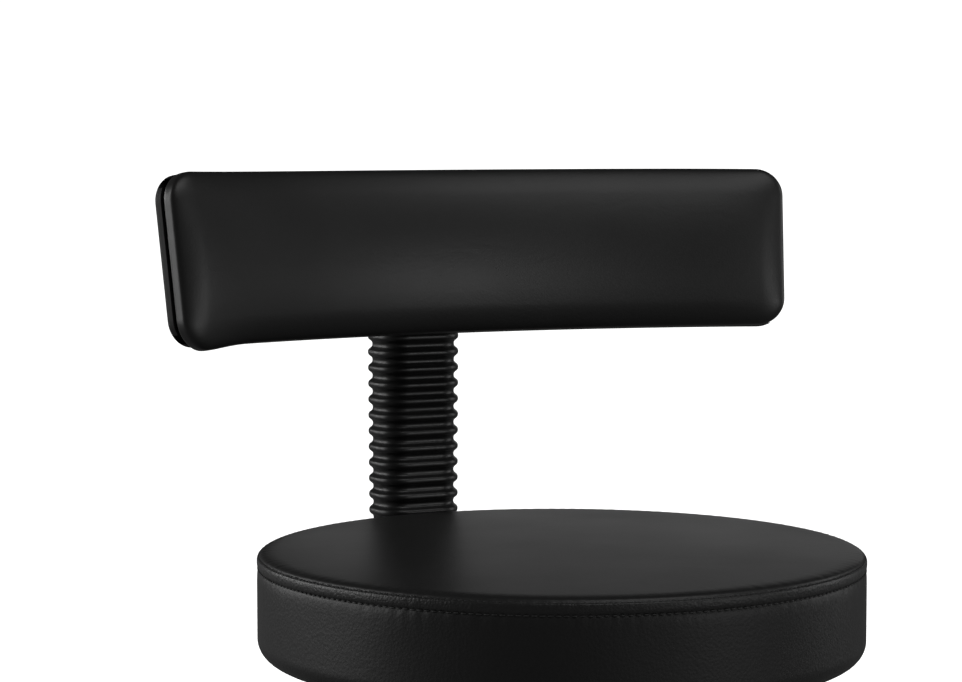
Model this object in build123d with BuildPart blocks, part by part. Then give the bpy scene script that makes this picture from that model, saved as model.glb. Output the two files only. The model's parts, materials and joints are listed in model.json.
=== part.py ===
from build123d import *
import os
from math import asin, cos, degrees, hypot, radians, sin, sqrt

# Adjustable swivel stool with a backrest. Millimetres, +Z up. The origin is on the column's axis at
# floor level, and the person on the stool faces -Y.

# ---------------------------------------------------------------- driving dimensions

ARMS = 5                        # arms of the star base, and casters
TIP_R = 250.0                   # caster stem circle
FRONT_ANGLE = -90.0             # one arm points forwards

WHEEL_R = 25.0                  # casters
WHEEL_W = 17.0
WHEEL_INNER = 7.2               # inner face of a wheel, from the caster's middle plane
WEB_HALF = 6.5                  # half thickness of the hood's middle web
TRAIL = 22.0                    # stem axis to wheel axle
HOOD_R = 29.0
HOOD_WALL = 2.5
AXLE_R = 3.0
STEM_R = 5.5                    # stem in the base
STEM_PIN_R = 4.0                # stem in the hood
STEM_FOOT_Z = 30.0
STEM_COLLAR_R = 9.0
HOOD_TOP_Z = 55.2

TIP_BOTTOM_Z = 58.0             # underside of an arm's tip
TIP_H = 24.0
TIP_BOSS_R = 14.0
HUB_R = 34.0
HUB_BOTTOM_Z = 60.0
HUB_TOP_Z = 108.0
ARM_ROOT = (36.0, 38.0)         # width and height of an arm's box section
ARM_TIP = (24.0, 20.0)
ARM_ROUND = (7.0, 6.0)          # corner radii at the root and the tip
ARM_WALL = 2.6

COLUMN_R = 25.0                 # outer column tube
COLUMN_WALL = 1.6
COLUMN_TOP_Z = 292.0
COLUMN_FLOOR_Z = 64.0
COLUMN_TAPER = 0.012            # radius lost per mm of depth in the hub
LIFT_R = 14.0                   # gas cylinder
LIFT_BORE_R = 12.0
LIFT_BOTTOM_Z = 160.0           # at mid height
SOCKET_BOTTOM_Z = 384.0
LIFT_TOP_Z = 429.0
LIFT_TAPER = 0.025              # radius lost per mm of height in the socket
ROD_R = 5.0
PISTON_Z = 283.0
PISTON_H = 14.0
RUNNING = 0.05                  # radial clearance of a running fit
SEATED = 0.02                   # radial clearance of pieces held together
GAP = 0.3                       # clearance of pieces that turn past each other
LEAD_IN = 1.0                   # chamfer at the end of a pin
THROUGH = 100.0                 # length of a cut that only has to pass right through

SEAT_R = 185.0                  # seat over its cover
SEAM_Z = 510.0                  # top seam of the seat
SEAT_CROWN = 5.0
SEAT_UNDER_Z = 447.0
SEAT_ROUND = 12.5
COVER_T = 1.6
BOARD_T = 12.0
BOARD_R = 172.0
WRAP_R = 150.0                  # the cover is turned under the board to here

PLATE_TOP_Z = 447.8
PLATE_T = 2.5
PLATE_X = 180.0
PLATE_Y = 200.0
PLATE_FLANGE = 18.0
BOLT_X = 150.0                  # seat bolt pattern
BOLT_Y = 170.0
BOLT_R = 4.0

LEVER_PIVOT = (-25.0, 437.5)    # x, z
LEVER_ROD_R = 4.0
LEVER_END_X = -205.0
LEVER_LOW_Z = 412.0
GRIP_X = -148.0

BAR_W = 45.0                    # backrest bar, flat steel
BAR_T = 6.0
BAR_Z = 439.0                   # middle of the bar under the seat
BAR_Y = 207.5                   # middle of the bar behind the seat
BAR_BEND_R = 33.0
BAR_START_Y = 24.0
BAR_TOP_Z = 735.0
GUIDE_START_Y = 76.0
GUIDE_END_Y = 134.0
GUIDE_WALL = 3.0
GUIDE_PLAY = (0.4, 0.3)         # what the guide is wider and higher than the bar
BAR_PLAY = 0.6                  # the same for the carrier and the bellows
CLAMP_Y = 112.0
STUD_R = 4.0                    # clamp screws
BOSS_R = 9.0                    # bosses they are screwed through

BELLOWS_Z = 470.0               # rubber bellows round the bar
CREST = (61.0, 42.0, 18.0)      # width, depth and corner radius
VALLEY = (55.0, 36.0, 15.0)
CREST_PITCH = 10.64
FIRST_CREST = 9.06
CRESTS = 17
BELLOWS_WALL = 1.2
CUFF = 3.7

CARRIER_Z = (660.0, 716.0)
CARRIER_X = 66.0
CARRIER_Y = (191.0, 223.0)
CLAMP_Z = 684.0
HINGE_Y = 168.0                 # backrest tilt pin
HINGE_Z = 690.0
HINGE_R = 4.0

BACK_L = 437.0                  # backrest along its front edge
BACK_H = 105.0
BACK_RADIUS = 550.0             # radius of its front face at mid height
BACK_LEAN = 8.0                 # degrees, the face leans back all along
BACK_FRONT = -52.5              # front face ahead of the tilt pin
BACK_CORNER = 17.0
BACK_COVER_T = 1.4
PAD_ROUND = 5.5                 # front edge of the pad
PAD_FRONT = 1.5                 # depths through the backrest, from its front face
BOARD_FRONT = 11.3
BOARD_BACK = 18.3
PAD_BACK = 19.7
SHELL_FRONT = 21.2
SHELL_BACK = 29.0
SHELL_WALL = 2.5
HINGE_PLATE_T = 3.0

BASE = (Align.CENTER, Align.CENTER, Align.MIN)
HANGING = (Align.CENTER, Align.CENTER, Align.MAX)
os.makedirs("parts", exist_ok=True)

arm_angles = [FRONT_ANGLE + 360.0 / ARMS * i for i in range(ARMS)]

# ---------------------------------------------------------------- star base and column

# One arm, a closed box section that tapers outwards, with the boss that takes a caster stem.
arm_start = HUB_R - 8
root_plane = Plane((arm_start, 0, HUB_BOTTOM_Z + ARM_ROOT[1] / 2 + 1), x_dir=(0, 1, 0), z_dir=(1, 0, 0))
tip_plane = Plane((TIP_R, 0, TIP_BOTTOM_Z + TIP_H / 2), x_dir=(0, 1, 0), z_dir=(1, 0, 0))
cavity_start = HUB_R + 3
cavity_end = TIP_R - TIP_BOSS_R - 2
with BuildPart() as arm_cavity:
    with BuildSketch(root_plane):
        Rectangle(ARM_ROOT[0] - 2 * ARM_WALL, ARM_ROOT[1] - 2 * ARM_WALL)
    with BuildSketch(tip_plane):
        Rectangle(ARM_TIP[0] - 2 * ARM_WALL, ARM_TIP[1] - 2 * ARM_WALL)
    loft()
    with Locations(((cavity_start + cavity_end) / 2, 0, HUB_BOTTOM_Z)):
        Box(cavity_end - cavity_start, THROUGH, THROUGH, mode=Mode.INTERSECT)

with BuildPart() as arm:
    with BuildSketch(root_plane):
        RectangleRounded(*ARM_ROOT, ARM_ROUND[0])
    with BuildSketch(tip_plane):
        RectangleRounded(*ARM_TIP, ARM_ROUND[1])
    loft()
    add(arm_cavity.part, mode=Mode.SUBTRACT)
    with Locations((TIP_R, 0, TIP_BOTTOM_Z)):
        Cylinder(TIP_BOSS_R, TIP_H, align=BASE)
    rims = arm.edges().filter_by(GeomType.CIRCLE).filter_by(lambda edge: edge.radius > TIP_BOSS_R - 1)
    fillet(rims.sort_by(Axis.Z)[-1], 2)

with BuildPart() as star_base:
    with Locations((0, 0, HUB_BOTTOM_Z)):
        Cylinder(HUB_R, HUB_TOP_Z - HUB_BOTTOM_Z, align=BASE)
    fillet(star_base.edges().group_by(Axis.Z)[-1], 4)
    with Locations(*[Location((0, 0, 0), (0, 0, angle)) for angle in arm_angles]):
        add(arm.part)
    hub_low_r = COLUMN_R - COLUMN_TAPER * (HUB_TOP_Z - HUB_BOTTOM_Z)
    with BuildSketch(Plane.XZ):
        Polygon((0, HUB_BOTTOM_Z), (hub_low_r + SEATED, HUB_BOTTOM_Z),
                (COLUMN_R + SEATED, HUB_TOP_Z), (0, HUB_TOP_Z), align=None)
    revolve(axis=Axis.Z, mode=Mode.SUBTRACT)
    with Locations((0, 0, TIP_BOTTOM_Z)):
        with PolarLocations(TIP_R, ARMS, start_angle=FRONT_ANGLE):
            Cylinder(STEM_R + SEATED, TIP_H - 4, align=BASE, mode=Mode.SUBTRACT)
star_base.part.label = "star_base"
export_step(star_base.part, "parts/star_base.step")

# Outer tube, tapered where it wedges into the hub, with a floor that carries the bearing.
column_in_r = COLUMN_R - COLUMN_WALL
rod_hole_r = ROD_R + GAP
with BuildPart() as column_tube:
    with BuildSketch(Plane.XZ):
        Polygon((rod_hole_r, HUB_BOTTOM_Z), (hub_low_r, HUB_BOTTOM_Z), (COLUMN_R, HUB_TOP_Z),
                (COLUMN_R, COLUMN_TOP_Z), (column_in_r, COLUMN_TOP_Z), (column_in_r, COLUMN_FLOOR_Z),
                (rod_hole_r, COLUMN_FLOOR_Z), align=None)
    revolve(axis=Axis.Z)
column_tube.part.label = "column_tube"
export_step(column_tube.part, "parts/column_tube.step")

# Plastic bush that guides the gas cylinder, with a rim over the tube's end.
BUSH_LOW_Z = 200.0
BUSH_RIM_H = 4.0
bush_r = column_in_r - SEATED
bush_bore_r = LIFT_R + RUNNING
bush_top_z = COLUMN_TOP_Z + BUSH_RIM_H
with BuildPart() as column_bush:
    with BuildSketch(Plane.XZ):
        Polygon((bush_bore_r, BUSH_LOW_Z), (bush_r, BUSH_LOW_Z), (bush_r, COLUMN_TOP_Z),
                (COLUMN_R, COLUMN_TOP_Z), (COLUMN_R, bush_top_z - BUSH_RIM_H / 2), (LIFT_R + 3, bush_top_z),
                (bush_bore_r, bush_top_z), align=None)
    revolve(axis=Axis.Z)
column_bush.part.label = "column_bush"
export_step(column_bush.part, "parts/column_bush.step")

# Ball thrust bearing on the tube's floor: two races and ten balls.
RACE_T = 2.0
RACE_R = 14.0
BALL_R = 1.95
BALLS = 10
BALL_CIRCLE_R = 10.0
bearing_top_z = COLUMN_FLOOR_Z + 2 * (RACE_T + BALL_R + RUNNING)
with BuildPart() as thrust_bearing:
    with Locations((0, 0, COLUMN_FLOOR_Z), (0, 0, bearing_top_z - RACE_T)):
        Cylinder(RACE_R, RACE_T, align=BASE)
        Cylinder(ROD_R + 1, RACE_T, align=BASE, mode=Mode.SUBTRACT)
    with Locations((0, 0, COLUMN_FLOOR_Z + RACE_T + BALL_R + RUNNING)):
        with PolarLocations(BALL_CIRCLE_R, BALLS):
            Sphere(BALL_R)
thrust_bearing.part.label = "thrust_bearing"
export_step(thrust_bearing.part, "parts/thrust_bearing.step")

# Caster stems pressed into the arms: a thick upper length, a collar and a thinner pivot.
stem_top_z = TIP_BOTTOM_Z + TIP_H - 5
collar_z = HOOD_TOP_Z + GAP
with BuildPart() as stem:
    with BuildSketch(Plane.XZ):
        Polygon((0, STEM_FOOT_Z), (STEM_PIN_R - LEAD_IN, STEM_FOOT_Z), (STEM_PIN_R, STEM_FOOT_Z + LEAD_IN),
                (STEM_PIN_R, collar_z), (STEM_COLLAR_R, collar_z), (STEM_COLLAR_R, TIP_BOTTOM_Z),
                (STEM_R, TIP_BOTTOM_Z), (STEM_R, stem_top_z - LEAD_IN), (STEM_R - LEAD_IN, stem_top_z),
                (0, stem_top_z), align=None)
    revolve(axis=Axis.Z)

with BuildPart() as caster_stems:
    with PolarLocations(TIP_R, ARMS, start_angle=FRONT_ANGLE):
        add(stem.part)
caster_stems.part.label = "caster_stems"
export_step(caster_stems.part, "parts/caster_stems.step")

# ---------------------------------------------------------------- gas lift spindle

# Rod from the clip under the column's floor up to the piston, with the shoulder that rides the bearing.
ROD_FOOT_Z = 54.0
CLIP_Z = 57.6
CLIP_T = 2.0
GROOVE_R = 4.2
SHOULDER_R = 11.0
SHOULDER_T = 3.0
shoulder_z = bearing_top_z + 0.1
shoulder_top_z = shoulder_z + SHOULDER_T
piston_pin_r = ROD_R - 1
piston_pin_z = PISTON_Z + PISTON_H + 2
with BuildPart() as piston_rod:
    with BuildSketch(Plane.XZ):
        Polygon((0, ROD_FOOT_Z), (ROD_R - LEAD_IN, ROD_FOOT_Z), (ROD_R, ROD_FOOT_Z + LEAD_IN),
                (ROD_R, CLIP_Z), (GROOVE_R, CLIP_Z), (GROOVE_R, CLIP_Z + CLIP_T), (ROD_R, CLIP_Z + CLIP_T),
                (ROD_R, shoulder_z), (SHOULDER_R, shoulder_z), (SHOULDER_R, shoulder_top_z),
                (ROD_R, shoulder_top_z), (ROD_R, PISTON_Z), (piston_pin_r, PISTON_Z),
                (piston_pin_r, piston_pin_z), (0, piston_pin_z), align=None)
    revolve(axis=Axis.Z)
piston_rod.part.label = "piston_rod"
export_step(piston_rod.part, "parts/piston_rod.step")

# Piston with a groove for its ring.
RING_GROOVE = 3.0
piston_r = LIFT_BORE_R - RUNNING
with BuildPart() as piston:
    with Locations((0, 0, PISTON_Z)):
        Cylinder(piston_r, PISTON_H, align=BASE)
        Cylinder(piston_pin_r + SEATED, PISTON_H, align=BASE, mode=Mode.SUBTRACT)
    with BuildSketch(Plane.XZ):
        with Locations((piston_r, PISTON_Z + PISTON_H / 2)):
            Rectangle(RING_GROOVE, RING_GROOVE)
    revolve(axis=Axis.Z, mode=Mode.SUBTRACT)
piston.part.label = "piston"
export_step(piston.part, "parts/piston.step")

# Open retaining clip in the rod's groove.
CLIP_R = 9.0
CLIP_MOUTH = 5.0
with BuildPart() as rod_clip:
    with BuildSketch(Plane.XY.offset(CLIP_Z + 0.1)):
        Circle(CLIP_R)
        Circle(GROOVE_R + RUNNING, mode=Mode.SUBTRACT)
        with Locations((CLIP_R, 0)):
            Rectangle(2 * CLIP_R - GROOVE_R, CLIP_MOUTH, mode=Mode.SUBTRACT)
    extrude(amount=CLIP_T - 0.2)
rod_clip.part.label = "rod_clip"
export_step(rod_clip.part, "parts/rod_clip.step")

# Rubber ring that the cylinder meets at its lowest height.
BUMP_R = 11.5
BUMP_H = 14.0
with BuildPart() as bump_stop:
    with BuildSketch(Plane.XZ):
        Polygon((ROD_R + SEATED, shoulder_top_z), (BUMP_R - 1.5, shoulder_top_z),
                (BUMP_R, shoulder_top_z + 5), (BUMP_R - 2.5, shoulder_top_z + 10),
                (ROD_R + SEATED, shoulder_top_z + BUMP_H), align=None)
    revolve(axis=Axis.Z)
bump_stop.part.label = "bump_stop"
export_step(bump_stop.part, "parts/bump_stop.step")

# ---------------------------------------------------------------- gas cylinder and its socket

# Cylinder with a thick gland at the bottom and a tapered, bored top.
GLAND_H = 24.0
LIFT_CAP_T = 21.0
PIN_R = 3.0
lift_top_r = LIFT_R - LIFT_TAPER * (LIFT_TOP_Z - SOCKET_BOTTOM_Z)
lift_roof_z = LIFT_TOP_Z - LIFT_CAP_T
with BuildPart() as gas_cylinder:
    with BuildSketch(Plane.XZ):
        Polygon((ROD_R + RUNNING, LIFT_BOTTOM_Z), (LIFT_R - LEAD_IN, LIFT_BOTTOM_Z),
                (LIFT_R, LIFT_BOTTOM_Z + LEAD_IN),
                (LIFT_R, SOCKET_BOTTOM_Z), (lift_top_r, LIFT_TOP_Z), (PIN_R + RUNNING, LIFT_TOP_Z),
                (PIN_R + RUNNING, lift_roof_z), (LIFT_BORE_R, lift_roof_z),
                (LIFT_BORE_R, LIFT_BOTTOM_Z + GLAND_H), (ROD_R + RUNNING, LIFT_BOTTOM_Z + GLAND_H),
                align=None)
    revolve(axis=Axis.Z)
gas_cylinder.part.label = "gas_cylinder"
export_step(gas_cylinder.part, "parts/gas_cylinder.step")

# Release pin with a domed top, under the lever's tip.
PIN_LOW_Z = 415.0
PIN_TOP_Z = 434.4
with BuildPart() as release_pin:
    with BuildSketch(Plane.XZ):
        with BuildLine():
            Line((0, PIN_LOW_Z), (PIN_R, PIN_LOW_Z))
            Line((PIN_R, PIN_LOW_Z), (PIN_R, PIN_TOP_Z - PIN_R))
            CenterArc((0, PIN_TOP_Z - PIN_R), PIN_R, 0, 90)
            Line((0, PIN_TOP_Z), (0, PIN_LOW_Z))
        make_face()
    revolve(axis=Axis.Z)
release_pin.part.label = "release_pin"
export_step(release_pin.part, "parts/release_pin.step")

# Socket welded under the seat plate, with a slot and two ears for the lever on its -X side.
SOCKET_R = 20.0
CHAMBER_R = 16.0
EAR_GAP = 12.0
EAR_T = 4.0
EAR_W = 16.0
EAR_LOW_Z = 430.0
SLOT_H = 11.5
LEVER_PIN_R = 2.5
plate_under_z = PLATE_TOP_Z - PLATE_T
pivot_x, pivot_z = LEVER_PIVOT
lift_side = Plane(origin=(pivot_x, 0, pivot_z), x_dir=(1, 0, 0), z_dir=(0, -1, 0))
with BuildPart() as taper_socket:
    with BuildSketch(Plane.XZ):
        Polygon((LIFT_R + SEATED, SOCKET_BOTTOM_Z), (SOCKET_R + 2, SOCKET_BOTTOM_Z),
                (SOCKET_R, SOCKET_BOTTOM_Z + 30), (SOCKET_R, plate_under_z - 4),
                (SOCKET_R + 6, plate_under_z), (CHAMBER_R, plate_under_z), (CHAMBER_R, LIFT_TOP_Z),
                (lift_top_r + SEATED, LIFT_TOP_Z), align=None)
    revolve(axis=Axis.Z)
    ear_middle = (EAR_GAP + EAR_T) / 2
    for side in (-1, 1):
        with Locations((pivot_x, side * ear_middle, (EAR_LOW_Z + plate_under_z) / 2)):
            Box(EAR_W, EAR_T, plate_under_z - EAR_LOW_Z)
    with Locations((-(CHAMBER_R + SOCKET_R) / 2, 0, pivot_z)):
        Box(EAR_W, EAR_GAP, SLOT_H, mode=Mode.SUBTRACT)
    with BuildSketch(lift_side):
        Circle(LEVER_PIN_R + SEATED)
    extrude(amount=THROUGH, both=True, mode=Mode.SUBTRACT)
taper_socket.part.label = "taper_socket"
export_step(taper_socket.part, "parts/taper_socket.step")

LEVER_PIN_HEAD_R = 4.2
LEVER_PIN_HEAD_T = 1.8
with BuildPart() as lever_pin:
    with BuildSketch(lift_side.offset(-EAR_GAP / 2 - EAR_T - 1)):
        Circle(LEVER_PIN_R)
    extrude(amount=EAR_GAP + 2 * EAR_T + 2)
    with BuildSketch(lift_side.offset(EAR_GAP / 2 + EAR_T)):
        Circle(LEVER_PIN_HEAD_R)
    extrude(amount=LEVER_PIN_HEAD_T)
lever_pin.part.label = "lever_pin"
export_step(lever_pin.part, "parts/lever_pin.step")

# Lever: a flat blade over the release pin, an eye on the pivot, and a cranked rod out to the grip.
BLADE_H = 6.0
BLADE_T = 10.0
BLADE_TIP_X = 4.0
BLADE_TAIL_X = -40.0
EYE_R = 5.0
CRANK_X = -37.0                 # where the round rod leaves the blade
CRANK_BENDS_X = (-49.0, -75.0)
CRANK_BEND_R = 9.0
with BuildPart() as release_lever:
    with BuildSketch(lift_side):
        Circle(EYE_R)
        with Locations(((BLADE_TAIL_X + BLADE_TIP_X) / 2 - pivot_x, 0)):
            Rectangle(BLADE_TIP_X - BLADE_TAIL_X, BLADE_H)
        Circle(LEVER_PIN_R + RUNNING, mode=Mode.SUBTRACT)
    extrude(amount=BLADE_T / 2, both=True)
    with BuildLine() as crank:
        FilletPolyline((CRANK_X, 0, pivot_z), (CRANK_BENDS_X[0], 0, pivot_z),
                       (CRANK_BENDS_X[1], 0, LEVER_LOW_Z), (LEVER_END_X + 3, 0, LEVER_LOW_Z),
                       radius=CRANK_BEND_R)
    with BuildSketch(Plane(origin=(CRANK_X, 0, pivot_z), z_dir=(-1, 0, 0))):
        Circle(LEVER_ROD_R)
    sweep(path=crank.wires()[0])
release_lever.part.label = "release_lever"
export_step(release_lever.part, "parts/release_lever.step")

# Moulded grip, flattened like a paddle at its end.
GRIP_R = 6.0
GRIP_SWELL = (8.0, 7.0)
GRIP_SWELL_X = GRIP_X - 20
GRIP_END = (7.0, 11.0)
with BuildPart() as lever_grip:
    with BuildSketch(Plane(origin=(GRIP_X, 0, LEVER_LOW_Z), z_dir=(-1, 0, 0))):
        Circle(GRIP_R)
    with BuildSketch(Plane(origin=(GRIP_SWELL_X, 0, LEVER_LOW_Z), z_dir=(-1, 0, 0))):
        Ellipse(*GRIP_SWELL)
    with BuildSketch(Plane(origin=(LEVER_END_X, 0, LEVER_LOW_Z), z_dir=(-1, 0, 0))):
        Ellipse(*GRIP_END)
    loft()
    fillet(lever_grip.edges().group_by(Axis.X)[0], 2.5)
    with Locations(Location((GRIP_X, 0, LEVER_LOW_Z), (0, -90, 0))):
        Cylinder(LEVER_ROD_R + SEATED, GRIP_X - LEVER_END_X - 3, align=BASE, mode=Mode.SUBTRACT)
lever_grip.part.label = "lever_grip"
export_step(lever_grip.part, "parts/lever_grip.step")

# ---------------------------------------------------------------- seat plate and backrest bar guide

TONGUE_X = 68.0
TONGUE_Y = 136.0
PLATE_CORNER = 4.0
TONGUE_CORNER = 8.0
with BuildPart() as seat_plate:
    with BuildSketch(Plane.XY.offset(plate_under_z)) as plate_outline:
        RectangleRounded(PLATE_X, PLATE_Y, PLATE_CORNER)
        with Locations((0, TONGUE_Y / 2)):
            Rectangle(TONGUE_X, TONGUE_Y)
        fillet(plate_outline.vertices().group_by(Axis.Y)[-1], TONGUE_CORNER)
        with GridLocations(BOLT_X, BOLT_Y, 2, 2):
            Circle(BOLT_R + 0.5, mode=Mode.SUBTRACT)
    extrude(amount=PLATE_T)
    for side in (-1, 1):
        with Locations((side * (PLATE_X - PLATE_T) / 2, 0, PLATE_TOP_Z - PLATE_T / 2)):
            Box(PLATE_T, PLATE_Y - 2 * PLATE_CORNER, PLATE_FLANGE, align=HANGING)
seat_plate.part.label = "seat_plate"
export_step(seat_plate.part, "parts/seat_plate.step")

# Rectangular guide for the bar with a threaded boss for the clamp screw.
GUIDE_BOSS_H = 8.5
guide_w = BAR_W + GUIDE_PLAY[0]
guide_h = BAR_T + GUIDE_PLAY[1]
guide_low_z = BAR_Z - guide_h / 2 - GUIDE_WALL
guide_l = GUIDE_END_Y - GUIDE_START_Y
with BuildPart() as bar_guide:
    with BuildSketch(Plane.XZ.offset(-GUIDE_START_Y)):
        with Locations((0, (guide_low_z + plate_under_z) / 2)):
            Rectangle(guide_w + 2 * GUIDE_WALL, plate_under_z - guide_low_z)
        with Locations((0, BAR_Z)):
            Rectangle(guide_w, guide_h, mode=Mode.SUBTRACT)
    extrude(amount=-guide_l)
    fillet(bar_guide.edges().filter_by(Axis.Y).group_by(Axis.Z)[0], 2.5)
    with Locations((0, CLAMP_Y, guide_low_z + 0.5)):
        Cylinder(BOSS_R, GUIDE_BOSS_H, align=HANGING)
    with Locations((0, CLAMP_Y, BAR_Z)):
        Cylinder(STUD_R + RUNNING, THROUGH, align=HANGING, mode=Mode.SUBTRACT)
bar_guide.part.label = "bar_guide"
export_step(bar_guide.part, "parts/bar_guide.step")

# Hexagon bolts up through the plate, and the tee nuts in the board that they screw into.
BOLT_END_Z = 458.5
BOLT_HEX_R = 7.5
BOLT_HEAD_H = 5.3
with BuildPart() as plate_bolts:
    with BuildSketch(Plane.XY.offset(plate_under_z - BOLT_HEAD_H)):
        with GridLocations(BOLT_X, BOLT_Y, 2, 2):
            RegularPolygon(BOLT_HEX_R, 6)
    extrude(amount=BOLT_HEAD_H)
    with BuildSketch(Plane.XY.offset(plate_under_z)):
        with GridLocations(BOLT_X, BOLT_Y, 2, 2):
            Circle(BOLT_R)
    extrude(amount=BOLT_END_Z - plate_under_z)
plate_bolts.part.label = "plate_bolts"
export_step(plate_bolts.part, "parts/plate_bolts.step")

board_z = SEAT_UNDER_Z + COVER_T
board_top_z = board_z + BOARD_T
TEE_FLANGE_R = 9.0
TEE_FLANGE_T = 1.5
TEE_BARREL_R = 5.2
TEE_BARREL_H = BOARD_T - TEE_FLANGE_T - 2
with BuildPart() as tee_nuts:
    with BuildSketch(Plane.XY.offset(board_top_z - TEE_FLANGE_T)):
        with GridLocations(BOLT_X, BOLT_Y, 2, 2):
            Circle(TEE_FLANGE_R)
    extrude(amount=TEE_FLANGE_T)
    with BuildSketch(Plane.XY.offset(board_top_z - TEE_FLANGE_T)):
        with GridLocations(BOLT_X, BOLT_Y, 2, 2):
            Circle(TEE_BARREL_R)
    extrude(amount=-TEE_BARREL_H)
    with BuildSketch(Plane.XY.offset(board_z)):
        with GridLocations(BOLT_X, BOLT_Y, 2, 2):
            Circle(BOLT_R + RUNNING)
    extrude(amount=BOARD_T, mode=Mode.SUBTRACT)
tee_nuts.part.label = "tee_nuts"
export_step(tee_nuts.part, "parts/tee_nuts.step")

# ---------------------------------------------------------------- seat upholstery

with BuildPart() as seat_board:
    with Locations((0, 0, board_z)):
        Cylinder(BOARD_R, BOARD_T, align=BASE)
    chamfer(seat_board.edges(), 1)
    with Locations((0, 0, board_top_z)):
        with GridLocations(BOLT_X, BOLT_Y, 2, 2):
            CounterBoreHole(TEE_BARREL_R + SEATED, TEE_FLANGE_R + SEATED, TEE_FLANGE_T, BOARD_T)
seat_board.part.label = "seat_board"
export_step(seat_board.part, "parts/seat_board.step")
RIM_CHAMFER = 1.5
crown_radius = ((SEAT_R - RIM_CHAMFER) ** 2 + SEAT_CROWN ** 2) / (2 * SEAT_CROWN)
crown_centre_z = SEAM_Z + SEAT_CROWN - crown_radius


def seat_half_outline(inset):
    """Half section of the upholstered seat, moved inwards by inset; drawn into the current BuildLine."""
    r = SEAT_R - inset
    low = SEAT_UNDER_Z + inset
    bend = SEAT_ROUND - inset
    dome_r = crown_radius - inset
    rim = crown_centre_z + sqrt(dome_r ** 2 - (r - RIM_CHAMFER) ** 2)
    Line((0, low), (r - bend, low))
    CenterArc((r - bend, low + bend), bend, -90, 90)
    Line((r, low + bend), (r, rim - RIM_CHAMFER))
    Line((r, rim - RIM_CHAMFER), (r - RIM_CHAMFER, rim))
    cap_angle = degrees(asin((r - RIM_CHAMFER) / dome_r))
    CenterArc((0, crown_centre_z), dome_r, 90 - cap_angle, cap_angle)
    Line((0, crown_centre_z + dome_r), (0, low))


# Leather cover: closed over the top and side, turned under the board's edge, open below.
with BuildPart() as seat_cover:
    with BuildSketch(Plane.XZ):
        with BuildLine():
            seat_half_outline(0)
        make_face()
    revolve(axis=Axis.Z)
    with BuildSketch(Plane.XZ):
        with BuildLine():
            seat_half_outline(COVER_T)
        make_face()
    revolve(axis=Axis.Z, mode=Mode.SUBTRACT)
    with Locations((0, 0, SEAT_UNDER_Z)):
        Cylinder(WRAP_R, COVER_T + 1, align=BASE, mode=Mode.SUBTRACT)
seat_cover.part.label = "seat_cover"
export_step(seat_cover.part, "parts/seat_cover.step")

# Foam: fills the cover above the board and round its edge.
with BuildPart() as seat_foam:
    with BuildSketch(Plane.XZ):
        with BuildLine():
            seat_half_outline(COVER_T + 0.1)
        make_face()
    revolve(axis=Axis.Z)
    with Locations((0, 0, SEAT_UNDER_Z)):
        Cylinder(BOARD_R + 0.1, board_top_z + 0.1 - SEAT_UNDER_Z, align=BASE, mode=Mode.SUBTRACT)
seat_foam.part.label = "seat_foam"
export_step(seat_foam.part, "parts/seat_foam.step")

# Cloth dust cover under the board, its rim lapped over the turned-in leather.
CLOTH_T = 0.8
LAP_R = 165.0
centre_r = WRAP_R - 4
lap_z = SEAT_UNDER_Z - CLOTH_T
cloth_top_z = PLATE_TOP_Z + CLOTH_T
with BuildPart() as dust_cover:
    with BuildSketch(Plane.XZ):
        Polygon((0, PLATE_TOP_Z), (centre_r - CLOTH_T, PLATE_TOP_Z), (centre_r - CLOTH_T, lap_z),
                (LAP_R, lap_z), (LAP_R, SEAT_UNDER_Z), (centre_r, SEAT_UNDER_Z), (centre_r, cloth_top_z),
                (0, cloth_top_z), align=None)
    revolve(axis=Axis.Z)
    with Locations((0, 0, PLATE_TOP_Z)):
        with GridLocations(BOLT_X, BOLT_Y, 2, 2):
            Cylinder(BOLT_R + 1.5, CLOTH_T, align=BASE, mode=Mode.SUBTRACT)
dust_cover.part.label = "dust_cover"
export_step(dust_cover.part, "parts/dust_cover.step")

STAPLES = 36
STAPLE = (1.2, 10.0, 0.6)       # thickness, width and height of a staple
STAPLE_CIRCLE_R = 158.0
with BuildPart() as cover_staples:
    with Locations((0, 0, lap_z)):
        with PolarLocations(STAPLE_CIRCLE_R, STAPLES):
            Box(*STAPLE, align=HANGING)
cover_staples.part.label = "cover_staples"
export_step(cover_staples.part, "parts/cover_staples.step")

# ---------------------------------------------------------------- backrest bar, stop and bellows

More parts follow.
